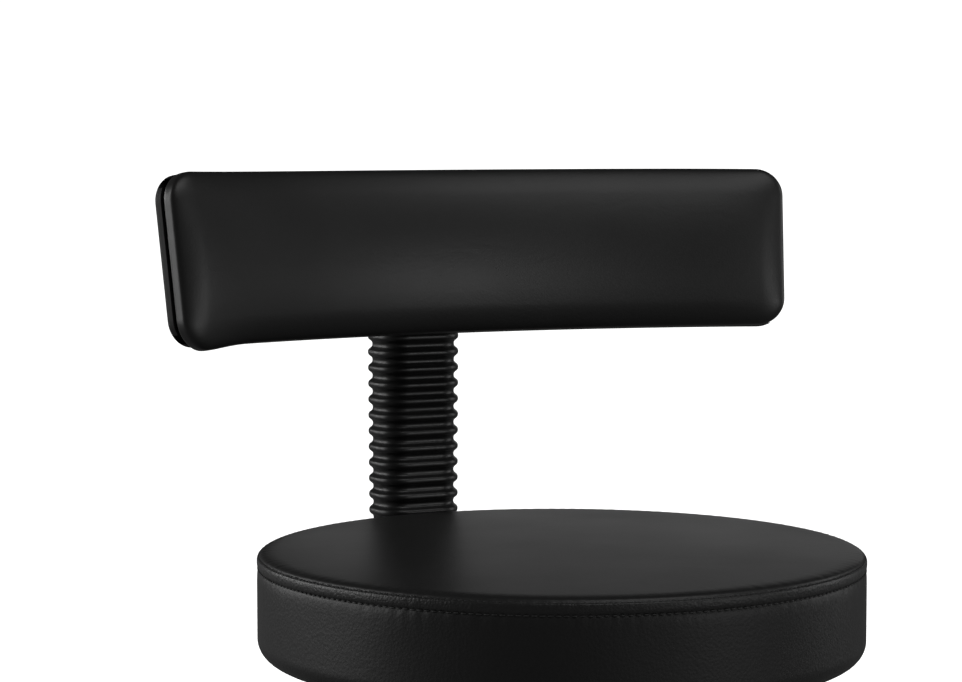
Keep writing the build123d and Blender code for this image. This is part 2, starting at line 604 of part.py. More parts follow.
bend_centre = (BAR_Y - BAR_BEND_R, BAR_Z + BAR_BEND_R)
bar_out_r = BAR_BEND_R + BAR_T / 2
bar_in_r = BAR_BEND_R - BAR_T / 2
bar_low_z = BAR_Z - BAR_T / 2
bar_high_z = BAR_Z + BAR_T / 2
bar_front_y = BAR_Y - BAR_T / 2
bar_rear_y = BAR_Y + BAR_T / 2
STOP_Y = 30.5
STOP_R = 2.5
STOP_HEAD_R = 4.5
STOP_HEAD_H = 3.2
BAR_TOP_ROUND = 8.0
BAR_END_ROUND = 5.0
with BuildPart() as back_bar:
    with BuildSketch(Plane.YZ):
        with BuildLine():
            Line((BAR_START_Y, bar_low_z), (bend_centre[0], bar_low_z))
            CenterArc(bend_centre, bar_out_r, -90, 90)
            Line((bar_rear_y, bend_centre[1]), (bar_rear_y, BAR_TOP_Z))
            Line((bar_rear_y, BAR_TOP_Z), (bar_front_y, BAR_TOP_Z))
            Line((bar_front_y, BAR_TOP_Z), (bar_front_y, bend_centre[1]))
            CenterArc(bend_centre, bar_in_r, 0, -90)
            Line((bend_centre[0], bar_high_z), (BAR_START_Y, bar_high_z))
            Line((BAR_START_Y, bar_high_z), (BAR_START_Y, bar_low_z))
        make_face()
    extrude(amount=BAR_W / 2, both=True)
    fillet(back_bar.edges().filter_by(Axis.Y).group_by(Axis.Z)[-1], BAR_TOP_ROUND)
    fillet(back_bar.edges().filter_by(Axis.Z).group_by(Axis.Y)[0], BAR_END_ROUND)
    with Locations((0, STOP_Y, BAR_Z)):
        Cylinder(STOP_R + SEATED, BAR_T, mode=Mode.SUBTRACT)
back_bar.part.label = "back_bar"
export_step(back_bar.part, "parts/back_bar.step")

# Stop screw in the bar's inner end: its head meets the guide before the bar can be drawn out.
with BuildPart() as bar_stop:
    with Locations((0, STOP_Y, bar_low_z)):
        Cylinder(STOP_HEAD_R, STOP_HEAD_H, align=HANGING)
    chamfer(bar_stop.edges().group_by(Axis.Z)[0], 0.8)
    with Locations((0, STOP_Y, bar_low_z)):
        Cylinder(STOP_R, BAR_T, align=BASE)
bar_stop.part.label = "bar_stop"
export_step(bar_stop.part, "parts/bar_stop.step")

# Bellows: ruled folds between crest and valley sections, hollow, with a slotted cuff at the foot.
neck_z = BELLOWS_Z + FIRST_CREST + (CRESTS - 1) * CREST_PITCH + CREST_PITCH / 2
bellows_top_z = neck_z + CUFF
sections = [(BELLOWS_Z, VALLEY), (BELLOWS_Z + CUFF, VALLEY)]
for fold in range(CRESTS):
    crest_z = BELLOWS_Z + FIRST_CREST + fold * CREST_PITCH
    sections.append((crest_z, CREST))
    sections.append((crest_z + CREST_PITCH / 2, VALLEY))
sections.append((bellows_top_z, VALLEY))
with BuildPart() as bellows:
    for section_z, (width, depth, corner) in sections:
        with BuildSketch(Plane((0, BAR_Y, section_z))):
            RectangleRounded(width, depth, corner)
    loft(ruled=True)
    for section_z, (width, depth, corner) in sections[1:]:
        with BuildSketch(Plane((0, BAR_Y, section_z))):
            RectangleRounded(width - 2 * BELLOWS_WALL, depth - 2 * BELLOWS_WALL, corner - BELLOWS_WALL)
    loft(ruled=True, mode=Mode.SUBTRACT)
    with Locations((0, BAR_Y, BELLOWS_Z)):
        Box(BAR_W + BAR_PLAY, BAR_T + BAR_PLAY, CUFF, align=BASE, mode=Mode.SUBTRACT)
bellows.part.label = "bellows"
export_step(bellows.part, "parts/bellows.step")

# ---------------------------------------------------------------- carrier, clamp screws and tilt pin

carrier_mid_y = sum(CARRIER_Y) / 2
CARRIER_CORNER = 6.0
CARRIER_BOSS_H = 6.0
SPIGOT = (49.0, 31.0, 12.0)     # width, depth and corner radius of the foot inside the bellows
SPIGOT_H = 10.0
EAR_IN = 14.0
EAR_OUT = 22.0
EAR_R = 10.0
ear_root_y = CARRIER_Y[0] + 2 - HINGE_Y
hinge_side = Plane(origin=(0, HINGE_Y, HINGE_Z), x_dir=(0, 1, 0), z_dir=(1, 0, 0))
with BuildPart() as back_carrier:
    with BuildSketch(Plane((0, carrier_mid_y, CARRIER_Z[0]))):
        RectangleRounded(CARRIER_X, CARRIER_Y[1] - CARRIER_Y[0], CARRIER_CORNER)
    extrude(amount=CARRIER_Z[1] - CARRIER_Z[0])
    fillet(back_carrier.edges().group_by(Axis.Z)[-1], 2.5)
    with BuildSketch(Plane((0, BAR_Y, CARRIER_Z[0]))):
        RectangleRounded(*SPIGOT)
    extrude(amount=-SPIGOT_H)
    for inner_x in (EAR_IN, -EAR_OUT):
        with BuildSketch(hinge_side.offset(inner_x)):
            Circle(EAR_R)
            Polygon((0, EAR_R), (ear_root_y, EAR_R + 5), (ear_root_y, -EAR_R - 5), (0, -EAR_R), align=None)
        extrude(amount=EAR_OUT - EAR_IN)
    with Locations(Location((0, CARRIER_Y[1] - 1, CLAMP_Z), (-90, 0, 0))):
        Cylinder(BOSS_R, CARRIER_BOSS_H, align=BASE)
    with Locations((0, BAR_Y, (CARRIER_Z[0] + CARRIER_Z[1]) / 2)):
        Box(BAR_W + BAR_PLAY, BAR_T + BAR_PLAY, THROUGH, mode=Mode.SUBTRACT)
    with Locations(Location((0, BAR_Y, CLAMP_Z), (-90, 0, 0))):
        Cylinder(STUD_R + RUNNING, THROUGH, align=BASE, mode=Mode.SUBTRACT)
    with BuildSketch(hinge_side):
        Circle(HINGE_R + SEATED)
    extrude(amount=THROUGH, both=True, mode=Mode.SUBTRACT)
back_carrier.part.label = "back_carrier"
export_step(back_carrier.part, "parts/back_carrier.step")

# Tilt pin: a bolt across the ears with its nut.
HINGE_HEX_R = 7.5
HINGE_HEAD_H = 4.5
HINGE_NUT_H = 6.0
with BuildPart() as tilt_pin:
    with BuildSketch(hinge_side.offset(-EAR_OUT - HINGE_HEAD_H)):
        RegularPolygon(HINGE_HEX_R, 6)
    extrude(amount=HINGE_HEAD_H)
    with BuildSketch(hinge_side.offset(-EAR_OUT)):
        Circle(HINGE_R)
    extrude(amount=2 * EAR_OUT + HINGE_NUT_H + 2)
    with BuildSketch(hinge_side.offset(EAR_OUT + 0.1)):
        RegularPolygon(HINGE_HEX_R, 6)
    extrude(amount=HINGE_NUT_H)
tilt_pin.part.label = "tilt_pin"
export_step(tilt_pin.part, "parts/tilt_pin.step")


LOBES = 5
KNOB_R = 22.0
KNOB_H = 14.0
KNOB_ROUNDS = (2.5, 2.0)        # outer and inner rim
FLUTE_R = 8.0
NECK_R = 10.0
NECK_H = 10.0
STUD_IN_KNOB = 10.0
STUD_CHAMFER = 0.8
STUD_GAP = 0.12                 # stud tip to bar, with the clamp slack


def knob_lobes():
    """Outline of the lobed clamp knob, drawn into the current BuildSketch."""
    Circle(KNOB_R)
    with PolarLocations(KNOB_R + FLUTE_R / 2, LOBES, start_angle=180 / LOBES):
        Circle(FLUTE_R, mode=Mode.SUBTRACT)


depth_knob_z = 397.0
depth_neck_z = depth_knob_z + KNOB_H
with BuildPart() as depth_knob:
    with BuildSketch(Plane((0, CLAMP_Y, depth_knob_z))):
        knob_lobes()
    extrude(amount=KNOB_H)
    fillet(depth_knob.edges().group_by(Axis.Z)[0], KNOB_ROUNDS[0])
    fillet(depth_knob.edges().group_by(Axis.Z)[-1], KNOB_ROUNDS[1])
    with Locations((0, CLAMP_Y, depth_neck_z - 1)):
        Cylinder(NECK_R, NECK_H + 1, align=BASE)
    with Locations((0, CLAMP_Y, depth_neck_z - STUD_IN_KNOB)):
        Cylinder(STUD_R + SEATED, THROUGH, align=BASE, mode=Mode.SUBTRACT)
depth_knob.part.label = "depth_knob"
export_step(depth_knob.part, "parts/depth_knob.step")

with BuildPart() as depth_stud:
    with Locations((0, CLAMP_Y, bar_low_z - STUD_GAP)):
        Cylinder(STUD_R, bar_low_z - STUD_GAP - depth_neck_z + STUD_IN_KNOB, align=HANGING)
    chamfer(depth_stud.edges().group_by(Axis.Z)[-1], STUD_CHAMFER)
depth_stud.part.label = "depth_stud"
export_step(depth_stud.part, "parts/depth_stud.step")

height_knob_y = 230.0
HEIGHT_NECK_H = 8.0
height_stud_y = height_knob_y + HEIGHT_NECK_H + STUD_IN_KNOB
knob_face = Plane(origin=(0, height_knob_y, CLAMP_Z), x_dir=(-1, 0, 0), z_dir=(0, 1, 0))
with BuildPart() as height_knob:
    with BuildSketch(knob_face.offset(HEIGHT_NECK_H)):
        knob_lobes()
    extrude(amount=KNOB_H)
    fillet(height_knob.edges().group_by(Axis.Y)[-1], KNOB_ROUNDS[0])
    fillet(height_knob.edges().group_by(Axis.Y)[0], KNOB_ROUNDS[1])
    with BuildSketch(knob_face):
        Circle(NECK_R)
    extrude(amount=HEIGHT_NECK_H + 1)
    with BuildSketch(knob_face):
        Circle(STUD_R + SEATED)
    extrude(amount=HEIGHT_NECK_H + STUD_IN_KNOB, mode=Mode.SUBTRACT)
height_knob.part.label = "height_knob"
export_step(height_knob.part, "parts/height_knob.step")

with BuildPart() as height_stud:
    with BuildSketch(Plane(origin=(0, bar_rear_y + STUD_GAP, CLAMP_Z), z_dir=(0, 1, 0))):
        Circle(STUD_R)
    extrude(amount=height_stud_y - bar_rear_y - STUD_GAP)
    chamfer(height_stud.edges().group_by(Axis.Y)[0], STUD_CHAMFER)
height_stud.part.label = "height_stud"
export_step(height_stud.part, "parts/height_stud.step")

# ---------------------------------------------------------------- backrest
# Every layer is part of a cone about one upright axis ahead of the face, so the face is hollow and
# leans back by BACK_LEAN all along. Depths run backwards from the front face and square to it.

lean = radians(BACK_LEAN)
arc_centre = Vector(0, HINGE_Y + BACK_FRONT - BACK_RADIUS, HINGE_Z)
arc_axis = Axis(arc_centre, (0, 0, 1))
edge_radius = BACK_RADIUS + PAD_FRONT + PAD_ROUND
half_l = BACK_L / 2
half_h = BACK_H / 2


def end_plane(half_length):
    """Upright plane through the cone's axis at the +X end of a layer of that half length."""
    angle = half_length / edge_radius
    return Plane(origin=arc_centre, x_dir=(sin(angle), cos(angle), 0), z_dir=(cos(angle), -sin(angle), 0))


def layer_section(front, back, half_height):
    """Leaning section of a layer between two depths, for a BuildSketch on an end plane."""
    with Locations((BACK_RADIUS, 0)):
        Polygon((front, -half_height), (back, -half_height), (back, half_height), (front, half_height),
                rotation=-BACK_LEAN, align=None)


def layer_turn(half_length):
    """Degrees that a layer of that half length spans from its +X end to its -X end."""
    return degrees(2 * half_length / edge_radius)


def corner_edges(solid, thickness):
    """The four straight edges that run through the thickness at the corners."""
    return solid.edges().filter_by(lambda edge: edge.geom_type == GeomType.LINE
                                   and abs(edge.length - thickness) < 0.01)


def depth_of(point):
    """Depth of a point behind the front face's cone."""
    place = Vector(point) - arc_centre
    return (hypot(place.X, place.Y) - BACK_RADIUS) * cos(lean) - place.Z * sin(lean)


def rim_edges(solid, depth):
    """The edges that lie at one depth, all round the layer."""
    def at_depth(edge):
        return all(abs(depth_of(vertex) - depth) < 0.01 for vertex in edge.vertices())
    return solid.edges().filter_by(at_depth)


def rear_plane(along, depth, up):
    """Plane on the layer at depth, facing backwards, at a distance along the arc and up from the middle."""
    angle = along / (BACK_RADIUS + BOARD_BACK)
    outward = Vector(sin(angle), cos(angle), 0)
    backward = outward * cos(lean) - Vector(0, 0, sin(lean))
    upward = outward * sin(lean) + Vector(0, 0, cos(lean))
    return Plane(origin=arc_centre + outward * BACK_RADIUS + backward * depth + upward * up,
                 x_dir=upward, z_dir=backward)


def screw_planes(along, up, depth):
    """The four planes of a rectangular screw pattern on the backrest."""
    return [rear_plane(a, depth, u) for a in (-along, along) for u in (-up, up)]


HINGE_SCREW = (36.0, 22.0)      # half spacings along and up
SHELL_SCREW = (150.0, 32.0)
HINGE_SCREW_R = 2.5
HINGE_SCREW_HEAD = (4.6, 2.6)   # radius and height
SHELL_SCREW_R = 1.8
SHELL_SCREW_HEAD = (3.9, 1.8)

# Plywood board with its screw holes.
board_inset = BACK_COVER_T + 0.2
with BuildPart() as back_board:
    with BuildSketch(end_plane(half_l - board_inset)):
        layer_section(BOARD_FRONT, BOARD_BACK, half_h - board_inset)
    revolve(axis=arc_axis, revolution_arc=layer_turn(half_l - board_inset))
    fillet(corner_edges(back_board, BOARD_BACK - BOARD_FRONT), BACK_CORNER - board_inset)
    with BuildSketch(*screw_planes(*HINGE_SCREW, BOARD_FRONT + 1)):
        Circle(HINGE_SCREW_R + SEATED)
    extrude(amount=THROUGH, mode=Mode.SUBTRACT)
    with BuildSketch(*screw_planes(*SHELL_SCREW, BOARD_FRONT + 2)):
        Circle(SHELL_SCREW_R + SEATED)
    extrude(amount=THROUGH, mode=Mode.SUBTRACT)
back_board.part.label = "back_board"
export_step(back_board.part, "parts/back_board.step")

# Foam in front of the board.
foam_inset = BACK_COVER_T + 0.1
foam_front = PAD_FRONT + foam_inset
foam_back = BOARD_FRONT - 0.05
with BuildPart() as back_foam:
    with BuildSketch(end_plane(half_l - foam_inset)):
        layer_section(foam_front, foam_back, half_h - foam_inset)
    revolve(axis=arc_axis, revolution_arc=layer_turn(half_l - foam_inset))
    fillet(corner_edges(back_foam, foam_back - foam_front), BACK_CORNER - foam_inset)
    fillet(rim_edges(back_foam, foam_front), PAD_ROUND - foam_inset)
back_foam.part.label = "back_foam"
export_step(back_foam.part, "parts/back_foam.step")

# Leather cover: front, sides and a lip turned behind the board.
LIP = 15.0
space_front = PAD_FRONT + BACK_COVER_T
with BuildPart() as pad_space:
    with BuildSketch(end_plane(half_l - BACK_COVER_T)):
        layer_section(space_front, BOARD_BACK, half_h - BACK_COVER_T)
    revolve(axis=arc_axis, revolution_arc=layer_turn(half_l - BACK_COVER_T))
    fillet(corner_edges(pad_space, BOARD_BACK - space_front), BACK_CORNER - BACK_COVER_T)
    fillet(rim_edges(pad_space, space_front), PAD_ROUND - BACK_COVER_T)

with BuildPart() as back_cover:
    with BuildSketch(end_plane(half_l)):
        layer_section(PAD_FRONT, PAD_BACK, half_h)
    revolve(axis=arc_axis, revolution_arc=layer_turn(half_l))
    fillet(corner_edges(back_cover, PAD_BACK - PAD_FRONT), BACK_CORNER)
    fillet(rim_edges(back_cover, PAD_FRONT), PAD_ROUND)
    add(pad_space.part, mode=Mode.SUBTRACT)
    with BuildSketch(end_plane(half_l - LIP)):
        layer_section(BOARD_BACK - 1, PAD_BACK + 1, half_h - LIP)
    revolve(axis=arc_axis, revolution_arc=layer_turn(half_l - LIP), mode=Mode.SUBTRACT)
back_cover.part.label = "back_cover"
export_step(back_cover.part, "parts/back_cover.step")

# Hinge plate screwed to the board, with two ears that reach back to the tilt pin.
HINGE_PLATE_L = 90.0
HINGE_PLATE_H = 60.0
HINGE_PLATE_CORNER = 8.0
PLATE_EAR = (10.3, 13.5)        # inner and outer face
PLATE_EAR_R = 8.5
EAR_REACH = 18.0                # half height of an ear where it meets the plate
plate_back = BOARD_BACK + HINGE_PLATE_T
ear_y = BACK_FRONT + plate_back - 1
ear_slant = EAR_REACH * sin(lean)
with BuildPart() as hinge_plate:
    with BuildSketch(end_plane(HINGE_PLATE_L / 2)):
        layer_section(BOARD_BACK, plate_back, HINGE_PLATE_H / 2)
    revolve(axis=arc_axis, revolution_arc=layer_turn(HINGE_PLATE_L / 2))
    fillet(corner_edges(hinge_plate, HINGE_PLATE_T), HINGE_PLATE_CORNER)
    for inner_x in (PLATE_EAR[0], -PLATE_EAR[1]):
        with BuildSketch(hinge_side.offset(inner_x)):
            Circle(PLATE_EAR_R)
            Polygon((0, PLATE_EAR_R), (ear_y + ear_slant, EAR_REACH), (ear_y - ear_slant, -EAR_REACH),
                    (0, -PLATE_EAR_R), align=None)
            Circle(HINGE_R + RUNNING, mode=Mode.SUBTRACT)
        extrude(amount=PLATE_EAR[1] - PLATE_EAR[0])
    with BuildSketch(*screw_planes(*HINGE_SCREW, BOARD_BACK - 2)):
        Circle(HINGE_SCREW_R + GAP)
    extrude(amount=8, mode=Mode.SUBTRACT)
hinge_plate.part.label = "hinge_plate"
export_step(hinge_plate.part, "parts/hinge_plate.step")

with BuildPart() as hinge_screws:
    with BuildSketch(*screw_planes(*HINGE_SCREW, BOARD_FRONT + 1.2)):
        Circle(HINGE_SCREW_R)
    extrude(amount=plate_back - BOARD_FRONT - 1)
    with BuildSketch(*screw_planes(*HINGE_SCREW, plate_back + 0.05)):
        Circle(HINGE_SCREW_HEAD[0])
    extrude(amount=HINGE_SCREW_HEAD[1])
hinge_screws.part.label = "hinge_screws"
export_step(hinge_screws.part, "parts/hinge_screws.step")

# Rear shell: a shallow moulded dish with a hinge opening and four screw bosses.
OPENING_L = 104.0
OPENING_H = 72.0
SHELL_ROUND = 5.0
SHELL_BOSS_R = 5.5
SCREW_SINK = 2.0                # depth of the screw heads' counterbores
with BuildPart() as back_shell:
    with BuildSketch(end_plane(half_l)):
        layer_section(SHELL_FRONT, SHELL_BACK, half_h)
    revolve(axis=arc_axis, revolution_arc=layer_turn(half_l))
    fillet(corner_edges(back_shell, SHELL_BACK - SHELL_FRONT), BACK_CORNER)
    fillet(rim_edges(back_shell, SHELL_BACK), SHELL_ROUND)
    with BuildSketch(end_plane(half_l - SHELL_WALL)):
        layer_section(SHELL_FRONT - 1, SHELL_BACK - SHELL_WALL, half_h - SHELL_WALL)
    revolve(axis=arc_axis, revolution_arc=layer_turn(half_l - SHELL_WALL), mode=Mode.SUBTRACT)
    with BuildSketch(*screw_planes(*SHELL_SCREW, BOARD_BACK + 0.1)):
        Circle(SHELL_BOSS_R)
    extrude(amount=SHELL_BACK - SHELL_WALL - BOARD_BACK + 0.4)
    with BuildSketch(*screw_planes(*SHELL_SCREW, BOARD_BACK)):
        Circle(SHELL_SCREW_R + 0.1)
    extrude(amount=THROUGH, mode=Mode.SUBTRACT)
    with BuildSketch(*screw_planes(*SHELL_SCREW, SHELL_BACK - SCREW_SINK)):
        Circle(SHELL_SCREW_HEAD[0] + 0.2)
    extrude(amount=THROUGH, mode=Mode.SUBTRACT)
    with BuildSketch(end_plane(OPENING_L / 2)):
        layer_section(SHELL_FRONT, SHELL_BACK + 1, OPENING_H / 2)
    revolve(axis=arc_axis, revolution_arc=layer_turn(OPENING_L / 2), mode=Mode.SUBTRACT)
back_shell.part.label = "back_shell"
export_step(back_shell.part, "parts/back_shell.step")

with BuildPart() as shell_screws:
    with BuildSketch(*screw_planes(*SHELL_SCREW, BOARD_FRONT + 2.2)):
        Circle(SHELL_SCREW_R)
    extrude(amount=SHELL_BACK - SCREW_SINK - BOARD_FRONT - 2)
    with BuildSketch(*screw_planes(*SHELL_SCREW, SHELL_BACK - SCREW_SINK + 0.05)):
        Circle(SHELL_SCREW_HEAD[0])
    extrude(amount=SHELL_SCREW_HEAD[1])
shell_screws.part.label = "shell_screws"
export_step(shell_screws.part, "parts/shell_screws.step")

# ---------------------------------------------------------------- casters
# One caster is drawn about its own stem, trailing towards +X, and set out under the five arm tips.

caster_side = Plane.XZ
axle_at = (TRAIL, WHEEL_R)
WEB_R = 19.0
HOOD_BOSS_R = 8.5
HOOD_BOSS_Z = 48.0
SKIRT_Z = WHEEL_R + 8           # the hood is open below this
WEB_LOW_Z = WHEEL_R + 5
BELOW = (Align.CENTER, Align.MAX)
outer_face = WHEEL_INNER + WHEEL_W
with BuildPart() as caster_hood:
    with BuildSketch(caster_side):
        with Locations(axle_at):
            Circle(HOOD_R)
            Circle(HOOD_R - HOOD_WALL, mode=Mode.SUBTRACT)
        with Locations((TRAIL, SKIRT_Z)):
            Rectangle(THROUGH, THROUGH, align=BELOW, mode=Mode.SUBTRACT)
    extrude(amount=outer_face, both=True)
    with BuildSketch(caster_side):
        with Locations(axle_at):
            Circle(HOOD_R - 1)
        with Locations((TRAIL, WEB_LOW_Z)):
            Rectangle(THROUGH, THROUGH, align=BELOW, mode=Mode.SUBTRACT)
        with Locations(axle_at):
            Circle(WEB_R)
        Polygon((-WEB_HALF, 27), (10, 20), (10, 46), (-WEB_HALF, 46), align=None)
    extrude(amount=WEB_HALF, both=True)
    with Locations((0, 0, HOOD_BOSS_Z)):
        Box(2 * WEB_HALF, 2 * WEB_HALF, 6)
        Cylinder(HOOD_BOSS_R, HOOD_TOP_Z - HOOD_BOSS_Z, align=BASE)
    with Locations((0, 0, STEM_FOOT_Z - 0.5)):
        Cylinder(STEM_PIN_R + RUNNING, THROUGH, align=BASE, mode=Mode.SUBTRACT)
    with BuildSketch(caster_side):
        with Locations(axle_at):
            Circle(AXLE_R + SEATED)
    extrude(amount=THROUGH, both=True, mode=Mode.SUBTRACT)

axle_half = outer_face - 3.5
with BuildPart() as caster_axle:
    with BuildSketch(caster_side):
        with Locations(axle_at):
            Circle(AXLE_R)
    extrude(amount=axle_half, both=True)

# Wheel: half section about its own axle, tread outside, dished outer face, blind bore inside.
wheel_axle = Axis((TRAIL, 0, WHEEL_R), (0, 1, 0))
wheel_half = Plane(origin=(TRAIL, 0, WHEEL_R), x_dir=(0, 0, -1), z_dir=(1, 0, 0))
with BuildPart() as caster_wheel:
    with BuildSketch(wheel_half):
        Polygon((AXLE_R + RUNNING, WHEEL_INNER), (WHEEL_R - 2, WHEEL_INNER), (WHEEL_R, WHEEL_INNER + 2.5),
                (WHEEL_R, outer_face - 5), (WHEEL_R - 2.5, outer_face - 1.5), (WHEEL_R - 6, outer_face),
                (WHEEL_R - 8, outer_face), (WHEEL_R - 9.5, outer_face - 2), (7, outer_face - 1.2),
                (0, outer_face - 0.4), (0, outer_face - 3), (AXLE_R + RUNNING, outer_face - 3), align=None)
    revolve(axis=wheel_axle)

caster_spots = [Location((TIP_R * cos(radians(angle)), TIP_R * sin(radians(angle)), 0), (0, 0, angle))
                for angle in arm_angles]
for number, spot in enumerate(caster_spots, start=1):
    with BuildPart() as hood:
        with Locations(spot):
            add(caster_hood.part)
    hood.part.label = f"caster_hood_{number}"
    export_step(hood.part, f"parts/caster_hood_{number}.step")

    with BuildPart() as axle:
        with Locations(spot):
            add(caster_axle.part)
    axle.part.label = f"caster_axle_{number}"
    export_step(axle.part, f"parts/caster_axle_{number}.step")

    with BuildPart() as left_wheel:
        with Locations(spot):
            add(caster_wheel.part)
    left_wheel.part.label = f"caster_wheel_left_{number}"
    export_step(left_wheel.part, f"parts/caster_wheel_left_{number}.step")

    with BuildPart() as right_wheel:
        with Locations(spot):
            add(mirror(caster_wheel.part, about=Plane.XZ, mode=Mode.PRIVATE))
    right_wheel.part.label = f"caster_wheel_right_{number}"
    export_step(right_wheel.part, f"parts/caster_wheel_right_{number}.step")
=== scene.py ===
import json
from math import cos, pi, radians, sin

import bpy
import numpy as np
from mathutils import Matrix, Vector


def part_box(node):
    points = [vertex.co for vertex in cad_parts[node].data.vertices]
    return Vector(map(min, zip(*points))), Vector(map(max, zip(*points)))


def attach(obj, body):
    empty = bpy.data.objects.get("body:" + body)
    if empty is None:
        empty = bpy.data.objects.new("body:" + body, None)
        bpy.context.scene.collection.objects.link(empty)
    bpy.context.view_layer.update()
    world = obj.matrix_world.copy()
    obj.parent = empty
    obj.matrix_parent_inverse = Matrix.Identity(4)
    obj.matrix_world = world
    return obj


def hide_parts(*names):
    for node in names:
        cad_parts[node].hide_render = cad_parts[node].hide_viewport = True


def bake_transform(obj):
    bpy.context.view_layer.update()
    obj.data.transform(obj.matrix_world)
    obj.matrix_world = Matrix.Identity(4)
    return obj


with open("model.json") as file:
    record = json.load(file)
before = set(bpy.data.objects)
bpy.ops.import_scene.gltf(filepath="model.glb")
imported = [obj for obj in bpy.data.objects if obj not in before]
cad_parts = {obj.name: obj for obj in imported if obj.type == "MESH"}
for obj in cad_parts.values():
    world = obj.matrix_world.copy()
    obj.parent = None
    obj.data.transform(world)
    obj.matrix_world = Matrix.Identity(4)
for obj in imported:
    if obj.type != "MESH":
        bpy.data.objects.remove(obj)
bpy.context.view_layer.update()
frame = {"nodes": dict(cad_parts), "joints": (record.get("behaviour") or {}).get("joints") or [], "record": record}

# Adjustable swivel stool with a backrest: upholstery, bellows, materials, studio and camera.
# Everything is in metres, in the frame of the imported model: +Z up, the sitter faces -Y.

MM = 0.001

# ---------------------------------------------------------------- places read from the frame

seat_low, seat_high = (Vector(corner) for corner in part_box("seat_cover"))
SEAT_R = (seat_high.x - seat_low.x) / 2
SEAT_CROWN = 5 * MM
SEAM_Z = seat_high.z - SEAT_CROWN
SEAT_UNDER = seat_low.z

bellows_low, bellows_high = (Vector(corner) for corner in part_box("bellows"))
joint_at = {joint["name"]: joint for joint in frame["joints"]}
tilt_pin = Vector(joint_at["back_tilt"]["pos_m"])


# ---------------------------------------------------------------- mesh helpers

def mesh_object(name, points, faces, material):
    """A smooth-shaded mesh object from an (n, 3) array and a list of faces."""
    mesh = bpy.data.meshes.new(name)
    mesh.from_pydata([tuple(p) for p in points], [], faces)
    mesh.validate()
    mesh.polygons.foreach_set("use_smooth", [True] * len(mesh.polygons))
    mesh.materials.append(material)
    piece = bpy.data.objects.new(name, mesh)
    bpy.context.scene.collection.objects.link(piece)
    return piece


def ring_faces(rows, columns, first=0):
    """Quads between successive closed rings of points."""
    faces = []
    for row in range(rows - 1):
        for column in range(columns):
            ahead = (column + 1) % columns
            a = first + row * columns + column
            b = first + row * columns + ahead
            faces.append((a, b, b + columns, a + columns))
    return faces


def smooth_noise(angle, low, waves, seed):
    """Periodic noise round a circle, between about -1 and 1, with from low up to that many waves."""
    draw = np.random.default_rng(seed)
    terms = 14
    orders = draw.integers(low, waves, terms)
    phases = draw.uniform(0, 2 * pi, terms)
    weights = draw.uniform(0.4, 1.0, terms)
    total = sum(w * np.sin(n * angle + p) for n, p, w in zip(orders, phases, weights))
    return total / np.sqrt((weights ** 2).sum() / 2) / 2


# ---------------------------------------------------------------- material helpers

class Graph:
    """A material's node tree with short calls to add and join nodes."""

    def __init__(self, name):
        self.material = bpy.data.materials.new(name)
        self.material.use_nodes = True
        self.nodes = self.material.node_tree.nodes
        self.links = self.material.node_tree.links
        self.shader = self.nodes["Principled BSDF"]
        self.place = self.nodes.new("ShaderNodeTexCoord").outputs["Object"]

    def join(self, source, target):
        self.links.new(source, target)

    def scaled(self, x, y, z):
        """Object coordinates stretched by a factor on each axis."""
        node = self.nodes.new("ShaderNodeMapping")
        node.inputs["Scale"].default_value = (x, y, z)
        self.join(self.place, node.inputs["Vector"])
        return node.outputs["Vector"]

    def noise(self, scale, detail=3.0, rough=0.55, place=None, distortion=0.0):
        node = self.nodes.new("ShaderNodeTexNoise")
        node.inputs["Scale"].default_value = scale
        node.inputs["Detail"].default_value = detail
        node.inputs["Roughness"].default_value = rough
        node.inputs["Distortion"].default_value = distortion
        self.join(place or self.place, node.inputs["Vector"])
        return node.outputs["Fac"]

    def cells(self, scale, feature="F1", place=None, randomness=1.0):
        node = self.nodes.new("ShaderNodeTexVoronoi")
        node.feature = feature
        node.inputs["Scale"].default_value = scale
        node.inputs["Randomness"].default_value = randomness
        self.join(place or self.place, node.inputs["Vector"])
        return node.outputs["Distance"]

    def remap(self, value, low, high, to_low, to_high):
        node = self.nodes.new("ShaderNodeMapRange")
        limits = {"From Min": low, "From Max": high, "To Min": to_low, "To Max": to_high}
        for socket, number in limits.items():
            node.inputs[socket].default_value = number
        self.join(value, node.inputs["Value"])
        return node.outputs["Result"]

    def math(self, operation, first, second):
        node = self.nodes.new("ShaderNodeMath")
        node.operation = operation
        for socket, value in zip(node.inputs, (first, second)):
            if isinstance(value, (int, float)):
                socket.default_value = value
            else:
                self.join(value, socket)
        return node.outputs["Value"]

    def blend_colours(self, amount, first, second):
        node = self.nodes.new("ShaderNodeMix")
        node.data_type = "RGBA"
        self.join(amount, node.inputs["Factor"])
        node.inputs["A"].default_value = (*first, 1)
        node.inputs["B"].default_value = (*second, 1)
        return node.outputs["Result"]

    def bump(self, height, depth, strength=1.0, under=None):
        node = self.nodes.new("ShaderNodeBump")
        node.inputs["Strength"].default_value = strength
        node.inputs["Distance"].default_value = depth
        self.join(height, node.inputs["Height"])
        if under is not None:
            self.join(under, node.inputs["Normal"])
        return node.outputs["Normal"]

    def set(self, **sockets):
        for name, value in sockets.items():
            socket = self.shader.inputs[name.replace("_", " ")]
            if isinstance(value, bpy.types.NodeSocket):
                self.join(value, socket)
            else:
                socket.default_value = value


def grey(tone):
    return (tone, tone, tone)


